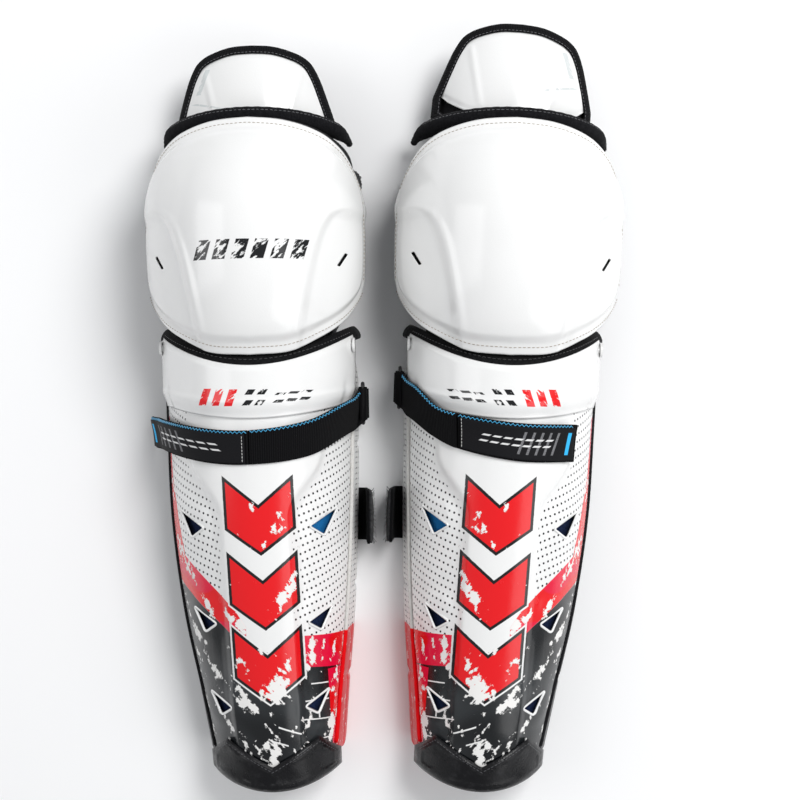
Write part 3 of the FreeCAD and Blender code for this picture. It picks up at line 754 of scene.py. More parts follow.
def fabric(name, tint, light, scale=0.9, area=None, area_tint=RED, mesh=True):
    """Knitted or brushed padding cloth, with one area in another colour if its outline is given."""
    paint = Paint(name, 0.92, Sheen_Weight=0.03, Sheen_Roughness=0.45, Specular_IOR_Level=0.08)
    where = paint.solid()
    fuzz = paint.noise(where, 0.5, 5, 0.65)
    knit = paint.cells(where, scale, 0.35)
    if not mesh:
        knit = paint.noise(where, scale, 3, 0.6)
    amount = fuzz * 0.6 + knit * 0.5
    colour = paint.mix(paint.step(amount, 0.25, 0.85), tint, light)
    if area:
        covered = paint.step(paint.inside_any(paint.place("plan"), [area]), -0.5, 0.5)
        colour = paint.mix(covered, colour, area_tint)
    paint.colour(colour)
    paint.bump(knit, 0.0004, 0.8)
    paint.bump(fuzz, 0.0004, 0.6)
    return paint.material


def worn_leather(name, tint, light, scale=0.45, rough=0.45):
    """Grained black guard leather, rubbed lighter on its high spots."""
    paint = Paint(name, rough, Coat_Weight=0.08, Specular_IOR_Level=0.3)
    where = paint.solid()
    grain = paint.cells(where, scale * 2.2, 1.0)
    crease = paint.noise(where, scale * 0.3, 5, 0.7)
    rubbed = paint.step(crease + grain * 0.15, 0.6, 0.78)
    paint.colour(paint.mix(rubbed, tint, light))
    paint.rough(paint.step(crease, -0.2, 1.6))
    paint.bump(grain, 0.00025, 0.5)
    paint.bump(crease, 0.0008, 0.5)
    return paint.material


def thread(name, tint):
    """Twisted sewing thread."""
    paint = Paint(name, 0.6, Sheen_Weight=0.3)
    where = paint.solid()
    twist = paint.noise(where, 2.0, 3, 0.6)
    paint.colour(paint.mix(twist, tuple(c * 0.6 for c in tint), tint))
    paint.bump(twist, 0.0001, 0.7)
    return paint.material


def hard_plastic(name, tint, light, rough=0.42):
    """Black moulded plastic, rubbed lighter in places."""
    paint = Paint(name, rough)
    where = paint.solid()
    grain = paint.noise(where, 1.4, 4, 0.6)
    wear = paint.step(paint.noise(where, 0.15, 5, 0.7), 0.58, 0.7)
    paint.colour(paint.mix(wear, tint, light))
    paint.rough(paint.step(grain, -1.0, 2.0))
    paint.bump(grain, 0.00008, 0.6)
    return paint.material


def steel(name):
    """Brushed steel."""
    paint = Paint(name, 0.32, Metallic=1.0)
    where = paint.solid()
    grain = paint.noise(paint.stretch(where, (1, 12, 1)), 0.8, 4, 0.6)
    paint.colour(paint.mix(grain, (0.42, 0.42, 0.43), (0.7, 0.7, 0.71)))
    paint.rough(paint.step(grain, -0.6, 2.2))
    paint.bump(grain, 0.00005, 0.5)
    return paint.material


# ---------------------------------------------------------------- shapes shared by the pieces


def arc_length(family, along, angle, out=0.0):
    """The distance over a family's surface from the crest to an angle, signed."""
    half, height, _ = section(family, along)
    steps = 8
    total = 0.0
    for k in range(steps):
        a = angle * (k + 0.5) / steps
        total += math.hypot((half + out) * math.cos(a), (height + out) * math.sin(a)) * abs(angle) / steps
    return math.copysign(total, angle)


def lay(family, across, along, out=0.0):
    """The point of a family's surface above a place in plan."""
    return on_surface(family, along, angle_at_across(family, along, across, out), out)


def rounded(corners, radius, steps=4):
    """A closed outline with its corners rounded."""
    path = []
    count = len(corners)
    for k in range(count):
        here = Vector(corners[k])
        to_last = Vector(corners[k - 1]) - here
        to_next = Vector(corners[(k + 1) % count]) - here
        start = here + to_last.normalized() * min(radius, to_last.length * 0.45)
        end = here + to_next.normalized() * min(radius, to_next.length * 0.45)
        for i in range(steps + 1):
            t = i / steps
            path.append(start * (1 - t) ** 2 + here * 2 * t * (1 - t) + end * t**2)
    return path


def pillow(columns, rows, place, radius):
    """A stuffed panel: place(s, t) gives its outer point, inner point, distance from the rim and mark."""
    points, faces, marks, outer, inner = [], [], [], {}, {}
    for i in range(columns + 1):
        for j in range(rows + 1):
            front, back, rim, mark = place(i / columns, j / rows)
            middle, reach = (front + back) / 2, (front - back) / 2
            share = min(1.0, max(0.0, rim / radius))
            fullness = math.sqrt(max(0.0, 1 - (1 - share) ** 2))
            points.append(middle + reach * fullness)
            marks.append(mark)
            outer[i, j] = len(points) - 1
            if i in (0, columns) or j in (0, rows):
                inner[i, j] = outer[i, j]
                continue
            points.append(middle - reach * fullness)
            marks.append(mark)
            inner[i, j] = len(points) - 1
    for i in range(columns):
        for j in range(rows):
            corners = ((i, j), (i + 1, j), (i + 1, j + 1), (i, j + 1))
            faces.append(tuple(outer[c] for c in corners))
            faces.append(tuple(reversed([inner[c] for c in corners])))
    return points, faces, marks


def prism(path, floor, roof):
    """A closed upright block with its outline in plan."""
    count = len(path)
    walls = [(k, (k + 1) % count, count + (k + 1) % count, count + k) for k in range(count)]
    walls += [tuple(reversed(range(count))), tuple(range(count, 2 * count))]
    return [Vector((p.x, p.y, z)) for z in (floor, roof) for p in path], walls, [(0, 0)] * (2 * count)


def groove(value, places, width):
    """1 in the middle of a sewn channel and 0 away from all of them."""
    nearest = min(abs(value - place) for place in places)
    return 1 - ramp(nearest, 0, width)


def bow(across, middle, side, reach=76.0):
    """An edge that bows along the leg from its middle to its ends."""
    return middle + (side - middle) * (across / reach) ** 2


# ---------------------------------------------------------------- shin shell and collar

VENTS = [(185, 45, 0, 1.12), (119, 39.5, 2, 1.0), (60.5, 33, 5, 0.96)]
SEAM = 34.4


def shell_relief(across, along):
    """How far the shell's moulded ridge and flanks stand from its plain surface."""
    lean = through([(0, 6), (120, 2), (185, 0)], along)
    off = abs(across - lean)
    half = 21 + 21 * ramp(along, 190, 232)
    ridge = 2.3 * (1 - ramp(off, half - 1, half + 5)) * ramp(along, 16, 44) * (1 - ramp(along, 236, 252))
    hollow = -0.9 * ramp(off, half + 3, half + 9) * (1 - ramp(off, half + 10, half + 26))
    hood = 0.0
    for place, reach, shift, _ in VENTS:
        for hand in (-1, 1):
            near = math.hypot(across - shift - hand * reach, (along - place) * 0.8)
            hood += 0.8 * (1 - ramp(near, 9, 17))
    return ridge + hollow * ramp(along, 20, 60) * (1 - ramp(along, 210, 240)) + hood


def vent_corners(place, reach, shift, size, hand):
    middle = hand * reach + shift
    return [
        (middle + 7.8 * hand * size, place + 8.2 * size, 0),
        (middle - 8.2 * hand * size, place - 2.0 * size, 0),
        (middle + 0.2 * hand * size, place - 8.2 * size, 0),
    ]


def on_shell(across, along, out=0.0):
    return lay("shin", across, along, shell_relief(across, along) + out)


def shin_shell(guard, skin, rim):
    def place(s, t):
        low = bow((s - 0.5) * 2 * 50, 15.5, 19, 50)
        along = low + (285 - low) * t
        limit = angle_at_height("shin", along, SEAM)
        angle = (2 * s - 1) * limit
        point = on_surface("shin", along, angle)
        edge = (1 - abs(2 * s - 1)) * limit * 75
        out = shell_relief(point.x, along) * ramp(edge, 0, 10) - 0.8 * (1 - ramp(edge, 0, 3))
        return on_surface("shin", along, angle, out), (arc_length("shin", along, angle), along)

    shape = grid(150, 120, place)
    piece = guard.panel("shin_shell", shape, 3.0, 0, skin, "shin", ["shin_shell"], "shell_white")
    cutters, rims = [], []
    for vent in VENTS:
        for hand in (-1, 1):
            path = rounded(vent_corners(*vent, hand), 1.9)
            if hand > 0:
                path.reverse()
            cutters.append(prism(path, 15, 110))
            centre = sum(path, Vector()) / len(path)
            lip = [p + (p - centre).normalized() * 0.55 for p in path]
            rims.append(tube([on_shell(p.x, p.y, 0.1) for p in lip], 0.95, 8, closed=True, squash=0.7))
    cut_by(piece, joined(cutters), guard)
    guard.make("vent_rims", joined(rims), rim, "shin", slot="shell_white")


def shin_liner(guard, cloth):
    """The quilted foam behind the shell, seen through the vents and from the leg side."""

    def place(s, t):
        low = bow((s - 0.5) * 2 * 50, 9, 21, 50) + 4
        along = low + (296 - low) * t
        limit = angle_at_height("shin", along, SEAM, -4)
        angle = (2 * s - 1) * limit
        edge = min((1 - abs(2 * s - 1)) * limit * 65, along - low, 296 - along)
        quilt = 0.55 * groove(along, range(48, 290, 34), 4) + 0.45 * groove(angle * 57, (-28, 0, 28), 2.6)
        inner = -10.9 + min(2.6, 3.2 * quilt)
        front = on_surface("shin", along, angle, -3.7)
        back = on_surface("shin", along, angle, inner)
        return front, back, edge, (arc_length("shin", along, angle), along)

    shape = pillow(72, 120, place, 3.6)
    guard.cushion(0.7, "shin_liner", shape, cloth, "shin", ["shin_liner"], "liner_navy")


def collar_low(across):
    return bow(across, 256, 268)


def collar_high(across):
    return bow(across, 291, 318)


def collar_place(s, t, skirt=4.4):
    """A point of the collar; s runs across it and t up it."""
    along, angle = 285.0, 0.0
    for _ in range(3):
        limit = angle_at_height("shin", along, 38.5, skirt)
        angle = (2 * s - 1) * limit
        across = on_surface("shin", along, angle, skirt).x
        along = collar_low(across) + (collar_high(across) - collar_low(across)) * t
    above = along - collar_low(across)
    below = collar_high(across) - along
    edge = (1 - abs(2 * s - 1)) * 85
    out = 1.7 + (skirt - 1.7) * ramp(above, 0, 9.5)
    out += 0.35 * (1 - ramp(abs(above - 10.5), 0, 3))
    out -= 1.6 * (1 - ramp(below, 0, 4)) + 1.2 * (1 - ramp(edge, 0, 5))
    out -= 0.9 * groove(edge, (14,), 5) * (1 - ramp(above, 8, 22))
    return on_surface("shin", along, angle, out), (arc_length("shin", along, angle), along)


def collar(guard, skin, foam, thread_dark):
    band = grid(110, 36, collar_place)
    guard.panel("collar", band, 2.6, 0, skin, "shin", ["collar_band"], "shell_white")

    def along_top(half, above, out):
        places = [-half + 2 * half * k / 60 for k in range(61)]
        return [lay("shin", x, collar_high(x) + above, out) for x in places]

    lip = tube(along_top(67.5, 2.6, -0.4), 5.2, 14, squash=0.46)
    guard.cushion(0.6, "collar_gasket", lip, foam, "shin", ["collar_gasket"], "foam_black")
    seam = stitches(along_top(64, 3.6, 2.15), 3.4, 2.4, 0.26)
    guard.make("gasket_stitches", seam, thread_dark, "shin", slot="foam_black")


ANKLE_TOP = [(-42, 19), (-41, 21), (-25, 36.5), (-9, 27), (7, 18), (23, 27), (39, 36.5), (55, 21), (56, 19)]


def ankle_top(across):
    for (x0, y0), (x1, y1) in zip(ANKLE_TOP, ANKLE_TOP[1:]):
        if across <= x1:
            return y0 + (y1 - y0) * max(0.0, (across - x0) / (x1 - x0))
    return ANKLE_TOP[-1][1]


def ankle_guard(guard, leather, thread_dark):
    def place(s, t):
        across = -38.5 + 91 * s
        top = ankle_top(across)
        low = 0.6 + 12.4 * ((across - 7) / 49) ** 2
        along = low + (top - low) * t
        edge = min(along - low, top - along, 46 - abs(across - 7))
        out = 1.6 + 1.7 * ramp(edge, 0, 2.2) + 0.4 * math.sin(across * 0.21 + along * 0.16) * ramp(edge, 2, 9)
        out += 0.5 * (1 - ramp(abs(edge - 5.2), 0, 1.2))
        return lay("shin", across, along, out), (across, along)

    shape = grid(91, 20, place)
    guard.panel("ankle_guard", shape, 2.2, 0.7, leather, "shin", ["ankle_guard"], "rubber_black")
    places = [-35 + 84 * k / 60 for k in range(61)]
    seam = stitches([lay("shin", x, ankle_top(x) - 3.2, 3.25) for x in places], 2.8, 2.0, 0.24)
    guard.make("ankle_stitches", seam, thread_dark, "shin", slot="rubber_black")


# ---------------------------------------------------------------- wings and piping


WING_TOP = 33.6
WING_START, WING_END = 18.4, 295.6
WING_CHANNELS, WING_SEAM = (72, 136, 236), (16,)


def wing_low(along):
    """The wing's lower edge above the floor."""
    if along < 28:
        return 10 * (28 - along) / 10
    if along > 276:
        return 16 * (along - 276) / 20
    return 0.0


def wing(guard, name, hand, cloth):
    def place(s, t):
        along = WING_START + (WING_END - WING_START) * s
        low = max(0.2, wing_low(along))
        height = low + (WING_TOP - low) * t
        angle = angle_at_height("shin", along, height) * hand
        edge = min(WING_TOP - height, height - low, along - WING_START, WING_END - along)
        channel = groove(along, WING_CHANNELS, 3.4) + 0.7 * groove(height, WING_SEAM, 2.6)
        out = -0.5 - 1.4 * min(1.0, channel) - 2.7 * ramp(height, 29.0, 31.0)
        front = on_surface("shin", along, angle, out)
        back = on_surface("shin", along, angle, -9.8 + 1.6 * min(1.0, channel))
        if height < 5.5:
            strap = ramp(along, 160, 165) * (1 - ramp(along, 205, 210))
            front.z, back.z = max(front.z, 3.8 * strap), max(back.z, 3.8 * strap)
        return front, back, edge, (along, height)

    shape = pillow(150, 22, place, 4.2)
    if hand < 0:
        shape = reverse(shape)
    piece = guard.cushion(0.65, name, shape, cloth, "shin", [name], "wing_black")

    def held(along, height):
        rim = min(29.4 - height, height - wing_low(along), along - WING_START, WING_END - along)
        sewn = max(groove(along, WING_CHANNELS, 3.4), groove(height, WING_SEAM, 2.6))
        return max(sewn, 1 - ramp(rim, 0.5, 2.5))

    fill(piece, shape[2], held, 1.2)


PIPING_HEIGHT, PIPING_SEAM = 32.5, 37.2


def shell_piping(guard, outer_cloth, inner_cloth, grey_thread, beige_thread):
    """The bead along each side seam: black on the outer side and white on the inner side."""

    def level(hand, height, out):
        places = [27 + 258 * k / 90 for k in range(91)]
        return [on_surface("shin", y, angle_at_height("shin", y, height) * hand, out) for y in places]

    outer = ("outer_piping", -1, outer_cloth, grey_thread, ["shell_piping"])
    inner = ("inner_piping", 1, inner_cloth, beige_thread, [])
    for name, hand, cloth, yarn, nodes in (outer, inner):
        guard.make(name, tube(level(hand, PIPING_HEIGHT, -0.7), 1.75, 10), cloth, "shin", nodes, "piping")
        seam = stitches(level(hand, PIPING_SEAM, -0.25), 3.0, 2.0, 0.3)
        guard.make(name + "_stitches", seam, yarn, "shin", slot="piping")


# ---------------------------------------------------------------- straps


def ribbon(path, low, high, rows):
    """A strip of webbing between two places along, over (across, height) stops."""
    travelled = [0.0]
    for a, b in zip(path, path[1:]):
        travelled.append(travelled[-1] + math.dist(a, b))

    def place(s, t):
        k = round(s * (len(path) - 1))
        along = low + (high - low) * t
        return (path[k][0], along, path[k][1]), (travelled[k], along - low)

    return grid(len(path) - 1, rows, place)


STRAPS = {
    "right": {
        "low": 253.0,
        "seam": -2.0,
        "end": -74.5,
        "upper": [(-84, 259), (-36, 250), (-2, 248), (38, 254), (65, 267.5), (84, 276)],
        "lower": [(-84, 238), (-36, 227.5), (-2, 225.5), (38, 230.5), (65, 245), (84, 253)],
    },
    "left": {
        "low": 263.0,
        "seam": 33.0,
        "end": -48.0,
        "upper": [(-48, 253), (-8, 253), (33, 258), (48, 263), (63, 277), (84, 286)],
        "lower": [(-48, 228), (-8, 228), (33, 235), (50, 243), (65, 254), (84, 263)],
    },
}


# Where the calf and knee straps start along the leg, and how wide they are.
CALF_SPAN = 166, 38
KNEE_SPAN = 402, 26


def strap_edges(hand, across):
    plan = STRAPS[hand]
    return through(plan["lower"], across), through(plan["upper"], across)


def front_strap(guard, cloth, blue):
    plan = STRAPS[guard.hand]
    low = plan["low"]
    seam_angle = angle_at_across("strap", low - 16, plan["seam"] + 0.2, 2)
    end_angle = angle_at_height("strap", low + 11, 44, 2)
    count = 60
    loop = [(74.6, 38), (75.0, 34), (74.3, 30.6), (71.8, 29.4)]
    loop += [(69.3, 30.6), (68.9, 34), (69.6, 39), (69.9, 46)]

    def woven(angle, t, out):
        along = low
        for _ in range(4):
            across = on_surface("strap", along, angle, 2).x
            edge_low, edge_high = strap_edges(guard.hand, across)
            blend = ramp(across, 66, 74)
            edge_low += (low - edge_low) * blend
            edge_high += (low + 23 - edge_high) * blend
            along = edge_low + (edge_high - edge_low) * t
        return on_surface("strap", along, angle, out)

    def place(s, t):
        k = s * (count + len(loop))
        if k <= count:
            angle = seam_angle + (end_angle - seam_angle) * k / count
            run = arc_length("strap", low, angle) - arc_length("strap", low, seam_angle)
            return woven(angle, t, 2.0), (run, t * 22)
        x, z = loop[round(k) - count - 1]
        return (x, low + 23 * t, z), (90 + 5.0 * (k - count), t * 22)

    def backing(s, t):
        angle = angle_at_across("strap", low - 16, plan["seam"] - 3 + 5 * s, 2)
        return woven(angle, t, 0.1), (5 * s, 22 * t)

    finish = cloth, "front_strap"
    guard.panel("strap_backing", grid(5, 12, backing), 0.3, 0, *finish, slot="webbing_black")
    shape = grid(count + len(loop), 12, place)
    guard.panel("front_strap", shape, 1.7, 0.5, *finish, ["front_strap"], "webbing_black")
    path = []
    for k in range(count + 1):
        point, _ = place(k / (count + len(loop)), 0.965)
        angle = seam_angle + (end_angle - seam_angle) * k / count
        path.append(Vector(point) + out_direction("strap", low, angle) * 0.25)
    seam = zigzag(path, 1.5, 0.75, 0.3)
    guard.make("front_strap_stitches", seam, blue, "front_strap", slot="webbing_black")


def strap_tab(guard, patch, edge_cloth, blue, thread_white):
    plan = STRAPS[guard.hand]
    seam, end, low = plan["seam"] - 0.7, plan["end"], plan["low"]
    start = angle_at_across("strap", low - 16, seam, 3)
    finish = angle_at_across("strap", low - 16, max(end, -73.6), 3)

    def at(s, t, out):
        angle = start + (finish - start) * s
        along = low - 10
        for _ in range(4):
            across = on_surface("strap", along, angle, 3).x
            edge_low, edge_high = strap_edges(guard.hand, across)
            along = edge_low + (edge_high - edge_low) * t
        loose = ramp(s, 0.8, 1.0) if guard.hand == "right" else 0.25 * ramp(s, 0.85, 1.0)
        return on_surface("strap", along, angle, out + 4.5 * loose)

    def back(s, t):
        return at(s, t, 2.1), (s * 76, t * 22)

    def front(s, t):
        return at(0.02 + s * 0.95, 0.05 + t * 0.86, 3.3), (s * 70, t * 21)

    body = "strap_tab"
    base, face = reverse(grid(60, 12, back)), reverse(grid(60, 14, front))
    guard.panel("strap_tab", base, 1.9, 0.5, edge_cloth, body, ["strap_tab"], "tab_patch")
    guard.panel("strap_tab_patch", face, 1.1, 0.4, patch, body, slot="tab_patch")
    upper = zigzag([at(k / 60, 0.955, 2.6) for k in range(58)], 1.5, 0.7, 0.3)
    guard.make("strap_tab_stitches", upper, blue, body, slot="webbing_black")
    ends = stitches([at(0.035, 0.08 + 0.8 * k / 10, 3.45) for k in range(11)], 2.2, 1.7, 0.24)
    guard.make("strap_tab_bar", ends, thread_white, body, slot="piping")


def reverse(shape):
    return shape[0], [tuple(reversed(face)) for face in shape[1]], shape[2]


def ring(guard, name, across, low_bar, high_bar, low, width, plastic, body):
    """A rounded rectangular ring with its long bars along the leg."""
    start, end = low - 2.4, low + width + 2.4
    corners = [(start, low_bar, 0), (end, low_bar, 0), (end, high_bar, 0), (start, high_bar, 0)]
    path = [Vector((across, p.x, p.y)) for p in rounded(corners, 2.6, 5)]
    guard.make(name, tube(path, 1.3, 12, closed=True), plastic, body, [name], "ring_black")


def anchor(guard, name, across, bar, far, low, width, lean, cloth, thread, body):
    """A webbing tab folded round a ring's bar and sewn down flat."""
    hand = 1 if across > 0 else -1
    rise = 1 if far > bar else -1
    outer = across + hand * 1.1
    inner = across - hand * 0.9
    turns = [(2.6, 1.5), (2.3, -1.6), (0, -2.6), (-2.3, -1.4), (-1.6, 3)]
    stops = [(outer + lean, far), (outer + lean * 0.5, (far + bar) / 2)]
    stops += [(across + hand * x, bar + rise * z) for x, z in turns]
    stops += [(inner + lean * 0.5, (far + bar) / 2), (inner + lean, far)]
    axes = [[(i, stop[axis]) for i, stop in enumerate(stops)] for axis in (0, 1)]
    smooth = [tuple(through(axis, k / 4) for axis in axes) for k in range(len(stops) * 4 - 3)]
    shape = ribbon(smooth, low + 1, low + width - 1, 10)
    if hand * rise > 0:
        shape = reverse(shape)
    guard.panel(name, shape, 1.3, 0.35, cloth, body, [name], "webbing_black")
    rows = []
    for share in (0.12, 0.42):
        x = outer + lean * (1 - share) + hand * 0.25
        z = far + (bar - far) * share
        rows.append(stitches([(x, low + 2.5 + (width - 5) * k / 8, z) for k in range(9)], 2.6, 1.9, 0.26))
    guard.make(name + "_stitches", joined(rows), thread, body, slot="webbing_black")


def frayed_strand(k, low, width, reach, rise):
    """One loose fibre of a worn patch; k picks its place and the way it curls."""
    share, turn = k * 0.618 % 1, k * 0.391 % 1
    base = Vector((reach - 1.4, low + 1.5 + (width - 3) * share, 11 + (rise - 14) * (k * 0.755 % 1)))
    way = Vector((1.0 + 0.6 * turn, 2.0 * (share - 0.5), turn - 0.3))
    curl = Vector((-0.1, math.sin(k * 2.4), math.cos(k * 2.4))) * 0.14
    return tube([base + way * 0.7 * j + curl * j * j for j in range(5)], 0.16, 5)


def floor_strap(guard, name, low, width, bar, reach, rise, lean, bulge, cloth, patch, thread):
    """Webbing round the outer ring, under the leg and up the inner side, with its hook tab."""
    path = [(-bar + 1.2, 7.0), (-bar - 1.6, 6.8), (-bar - 2.9, 4.6), (-bar - 2.3, 2.2), (-bar, 1.2)]
    path += [(-bar + (reach - 5 + bar) * k / 40, 1.2) for k in range(1, 41)]
    path += [(reach - 2.6, 1.9), (reach - 0.9, 3.6), (reach - 0.2, 6.0)]
    path += [(reach - 0.2 + lean * k / 14, 6 + (rise - 6) * k / 14) for k in range(1, 15)]
    shape = ribbon(path, low + 0.3, low + width - 0.3, 14)
    settle(thicken(guard.make(name, shape, cloth, name, [name], "webbing_black"), 1.7, 0, 0))

    def tab(s, t):
        height = 7 + (rise - 7.2) * s
        along = low + 0.8 + (width - 1.6) * t
        fuzz = noise.noise(Vector((height * 0.5, along * 0.5, len(name)))) * 2.4
        swell = bulge * math.sin(math.pi * s) * math.sin(math.pi * t) ** 0.4
        front = Vector((reach + lean * (height - 6) / (rise - 6) + 2.0 + swell + fuzz * 0.5, along, height))
        back = Vector((front.x - 1.7 - swell, along, height))
        edge = min(height - 7, rise - 0.2 - height, along - low - 0.8, low + width - 0.8 - along)
        return front, back, edge + fuzz * 0.3, (height, along)

    guard.make(name + "_tab", pillow(30, 34, tab, 1.4), patch, name, [name + "_tab"], "tab_patch")
    if bulge:
        strands = [frayed_strand(k, low, width, reach + 2.0 + bulge, rise) for k in range(30)]
        guard.make(name + "_tufts", joined(strands), patch, name, slot="tab_patch")
    rows = []
    for along in (low + width * 0.1, low + width * 0.9):
        row = [(reach + 1.9 + lean * k / 12, along, 8 + (rise - 10) * k / 12) for k in range(13)]
        rows.append(stitches(row, 2.8, 2.0, 0.24))
    guard.make(name + "_stitches", joined(rows), thread, name, slot="webbing_black")


# ---------------------------------------------------------------- knee


CAP_LOW = [(0, 297.6), (20, 299.8), (39, 310.2), (50, 318.5), (59.6, 328.5), (66, 338), (71, 352)]
CAP_HIGH = [(0, 455.4), (20, 453.4), (39.4, 446.8), (50, 439.4), (57.3, 431), (66, 414), (71, 400)]


def cap_relief(across, along, edge):
    """The dome over its flange, with the cheeks folded in on both sides."""
    out = -2.6 + 2.6 * ramp(edge, 6.5, 12.5)
    fold = through([(300, 31), (335, 37), (359, 42), (373, 46), (385, 51), (393, 58), (400, 78)], along)
    past = abs(across) - fold
    out -= 2.4 * ramp(past, -1.5, 5) * (1 - ramp(along, 386, 397)) * (1 - 0.55 * ramp(past, 12, 30))
    out += 0.7 * (1 - ramp(abs(past + 3), 0, 4)) * (1 - ramp(along, 384, 396)) * ramp(along, 300, 330)
    crown = 0.6 * (1 - ramp(abs(along - 436), 0, 10)) * (1 - ramp(abs(across), 30, 60))
    return out - crown * 0.6


def cap_at(s, t, out=None):
    """A point of the knee cap, its relief or a fixed distance out, and its mark."""
    degrees = (2 * s - 1) * 71
    low, high = through(CAP_LOW, abs(degrees)), through(CAP_HIGH, abs(degrees))
    along = low + (high - low) * t
    angle = math.radians(degrees)
    here = on_surface("cap", along, angle)
    side = (1 - abs(2 * s - 1)) * 71 * 1.75
    edge = sum(max(0.05, reach) ** -3 for reach in (along - low, high - along, side)) ** (-1 / 3)
    if out is None:
        out = cap_relief(here.x, along, edge)
    return on_surface("cap", along, angle, out), (arc_length("cap", along, angle), along)


def knee_cap(guard, skin, foam, thread_white):
    shape = splayed(guard, grid(170, 150, cap_at))
    piece = guard.panel("knee_cap", shape, 2.6, 0, skin, "knee", ["knee_cap"], "cap_white")
    cutters = []
    for hand in (-1, 1):
        slot = [(56.4, 356.4), (58.2, 355.8), (63.4, 364.6), (61.6, 365.4)]
        slot = [(hand * x, y, 0) for x, y in slot]
        cutters.append(prism(rounded(slot, 0.6, 2), 40, 130))
    cut_by(piece, splayed(guard, joined(cutters)), guard)
    high, low = ([cap_at(0.5 + 0.5 * k / 60, t, -2.45)[0] for k in range(-56, 57)] for t in (0.972, 0.03))
    sides = [[cap_at(s, 0.12 + 0.76 * k / 30, -2.45)[0] for k in range(31)] for s in (0.028, 0.972)]
    rows = [high, *sides, low]
    seams = splayed(guard, joined([stitches(r, 2.9, 2.0, 0.27) for r in rows]))
    guard.make("cap_stitches", seams, thread_white, "knee", slot="cap_white")

    def pad(s, t):
        outer, mark = cap_at(0.07 + 0.86 * s, 0.05 + 0.9 * t, -4.5)
        inner, _ = cap_at(0.07 + 0.86 * s, 0.05 + 0.9 * t, -11.3)
        edge = min(s, 1 - s) * 190 if abs(s - 0.5) > 0.4 else 99
        return outer, inner, min(edge, t * 140, (1 - t) * 140), mark

    shape = splayed(guard, pillow(60, 50, pad, 4))
    guard.cushion(0.8, "knee_foam", shape, foam, "knee", ["knee_foam"], "foam_black")


LINER_CHANNELS, LINER_ROWS = (-52, -18, 18, 52), (340, 375, 410)


def knee_liner(guard, cloth, roll_cloth, thread):
    def place(s, t):
        degrees = (2 * s - 1) * 89.9
        angle = math.radians(degrees)
        height = section("knee", 380)[1] * math.cos(angle)
        low = 303.4 + 33 * max(0.0, 1 - height / 48)
        high = 436.8 + 0.2308 * height * 0.93
        along = low + (high - low) * t
        edge = min(along - low, high - along, (1 - abs(2 * s - 1)) * 150)
        quilt = 0.5 * groove(degrees, LINER_CHANNELS, 2.2) + 0.5 * groove(along, LINER_ROWS, 2.6)
        front = on_surface("knee", along, angle, -0.2)
        back = on_surface("knee", along, angle, -6.8 + min(2.0, 2.6 * quilt))
        strap = ramp(along, 395, 401) * (1 - ramp(along, 429, 435)) * 3.9
        front.z, back.z = max(front.z, strap, 0.2), max(back.z, strap, 0.2)
        return front, back, edge, (arc_length("knee", along, angle), along)

    shape = pillow(120, 66, place, 3.0)
    piece = guard.cushion(0.6, "knee_liner", shape, cloth, "knee", ["knee_liner"], "liner_navy")

    def held(arc, along):
        degrees = arc * 90 / arc_length("knee", along, math.pi / 2)
        rim = min(along - 306, 434 - along, (89 - abs(degrees)) * 1.4)
        quilt = max(groove(degrees, LINER_CHANNELS, 2.2), groove(along, LINER_ROWS, 2.6))
        return max(quilt, 1 - ramp(rim, 4, 12))

    fill(piece, shape[2], held, 0.9)
    lean = math.radians(12.9)
    path, seam = [], []
    for k in range(97):
        taper = ramp(min(k, 96 - k), 0, 15)
        a = math.radians(-78.5 + 157 * k / 96)
        up, across = 74.5 * math.cos(a), 65 * math.sin(a)
        arch = 16.6 * math.cos(a) ** 0.7
        path.append(Vector((across, 444.0 + arch, up * math.cos(lean))))
        outward = Vector((math.sin(a), 0.55, math.cos(a))).normalized()
        seam.append(path[-1] + outward * (2.3 + 3.2 * taper))
    whole = sum((b - a).length for a, b in zip(path, path[1:]))

    def girth(run):
        return 5.6 * (0.4 + 0.6 * ramp(min(run, whole - run), 0, 28)) + 0.12 * math.sin(run * 0.9)

    roll, seam = splayed(guard, tube(path, girth, 18)), splayed(guard, stitches(seam, 3.0, 2.2, 0.3))
    guard.cushion(0.8, "knee_roll", roll, roll_cloth, "knee", ["knee_roll"], "roll_black")
    guard.make("roll_stitches", seam, thread, "knee", slot="roll_black")


# ---------------------------------------------------------------- thigh guard

THIGH_HIGH = [(0, 512.6), (15, 511.8), (29, 508.2), (36, 505)]
THIGH_HIGH += [(41, 500.5), (46, 491), (50, 480), (56.6, 460.6)]
PLATE_LOW = [(0, 444.0), (22, 446.5), (38, 452), (50, 458.5), (56.6, 461)]
THIGH_LOW = [(0, 437.4), (38, 437.4), (42.5, 440), (45.5, 448), (49, 454), (56.6, 460.2)]


def thigh_edges(across, inset=0.0, drop=0.0):
    """The lower and upper edge of the thigh guard at a distance across, moved in; drop lowers its corners."""
    across = abs(across) * 56.6 / (56.6 - inset)
    low = max(437.4, through(THIGH_LOW, across) - drop) + inset * (1 - 0.6 * ramp(across, 38, 50))
    high = through(THIGH_HIGH, across) - inset * (1 - 0.75 * ramp(across, 30, 50))
    if low > high - 0.4:
        low, high = (low + high) / 2 - 0.2, (low + high) / 2 + 0.2
    return low, high


def thigh_at(s, t, inset, out, drop=0.0):
    """A point of the thigh guard between its edges, moved in by inset."""
    across = (2 * s - 1) * (56.6 - inset)
    low, high = thigh_edges(across, inset, drop)
    along = low + (high - low) * t
    return lay("thigh", across, along, out), along, low, high, across


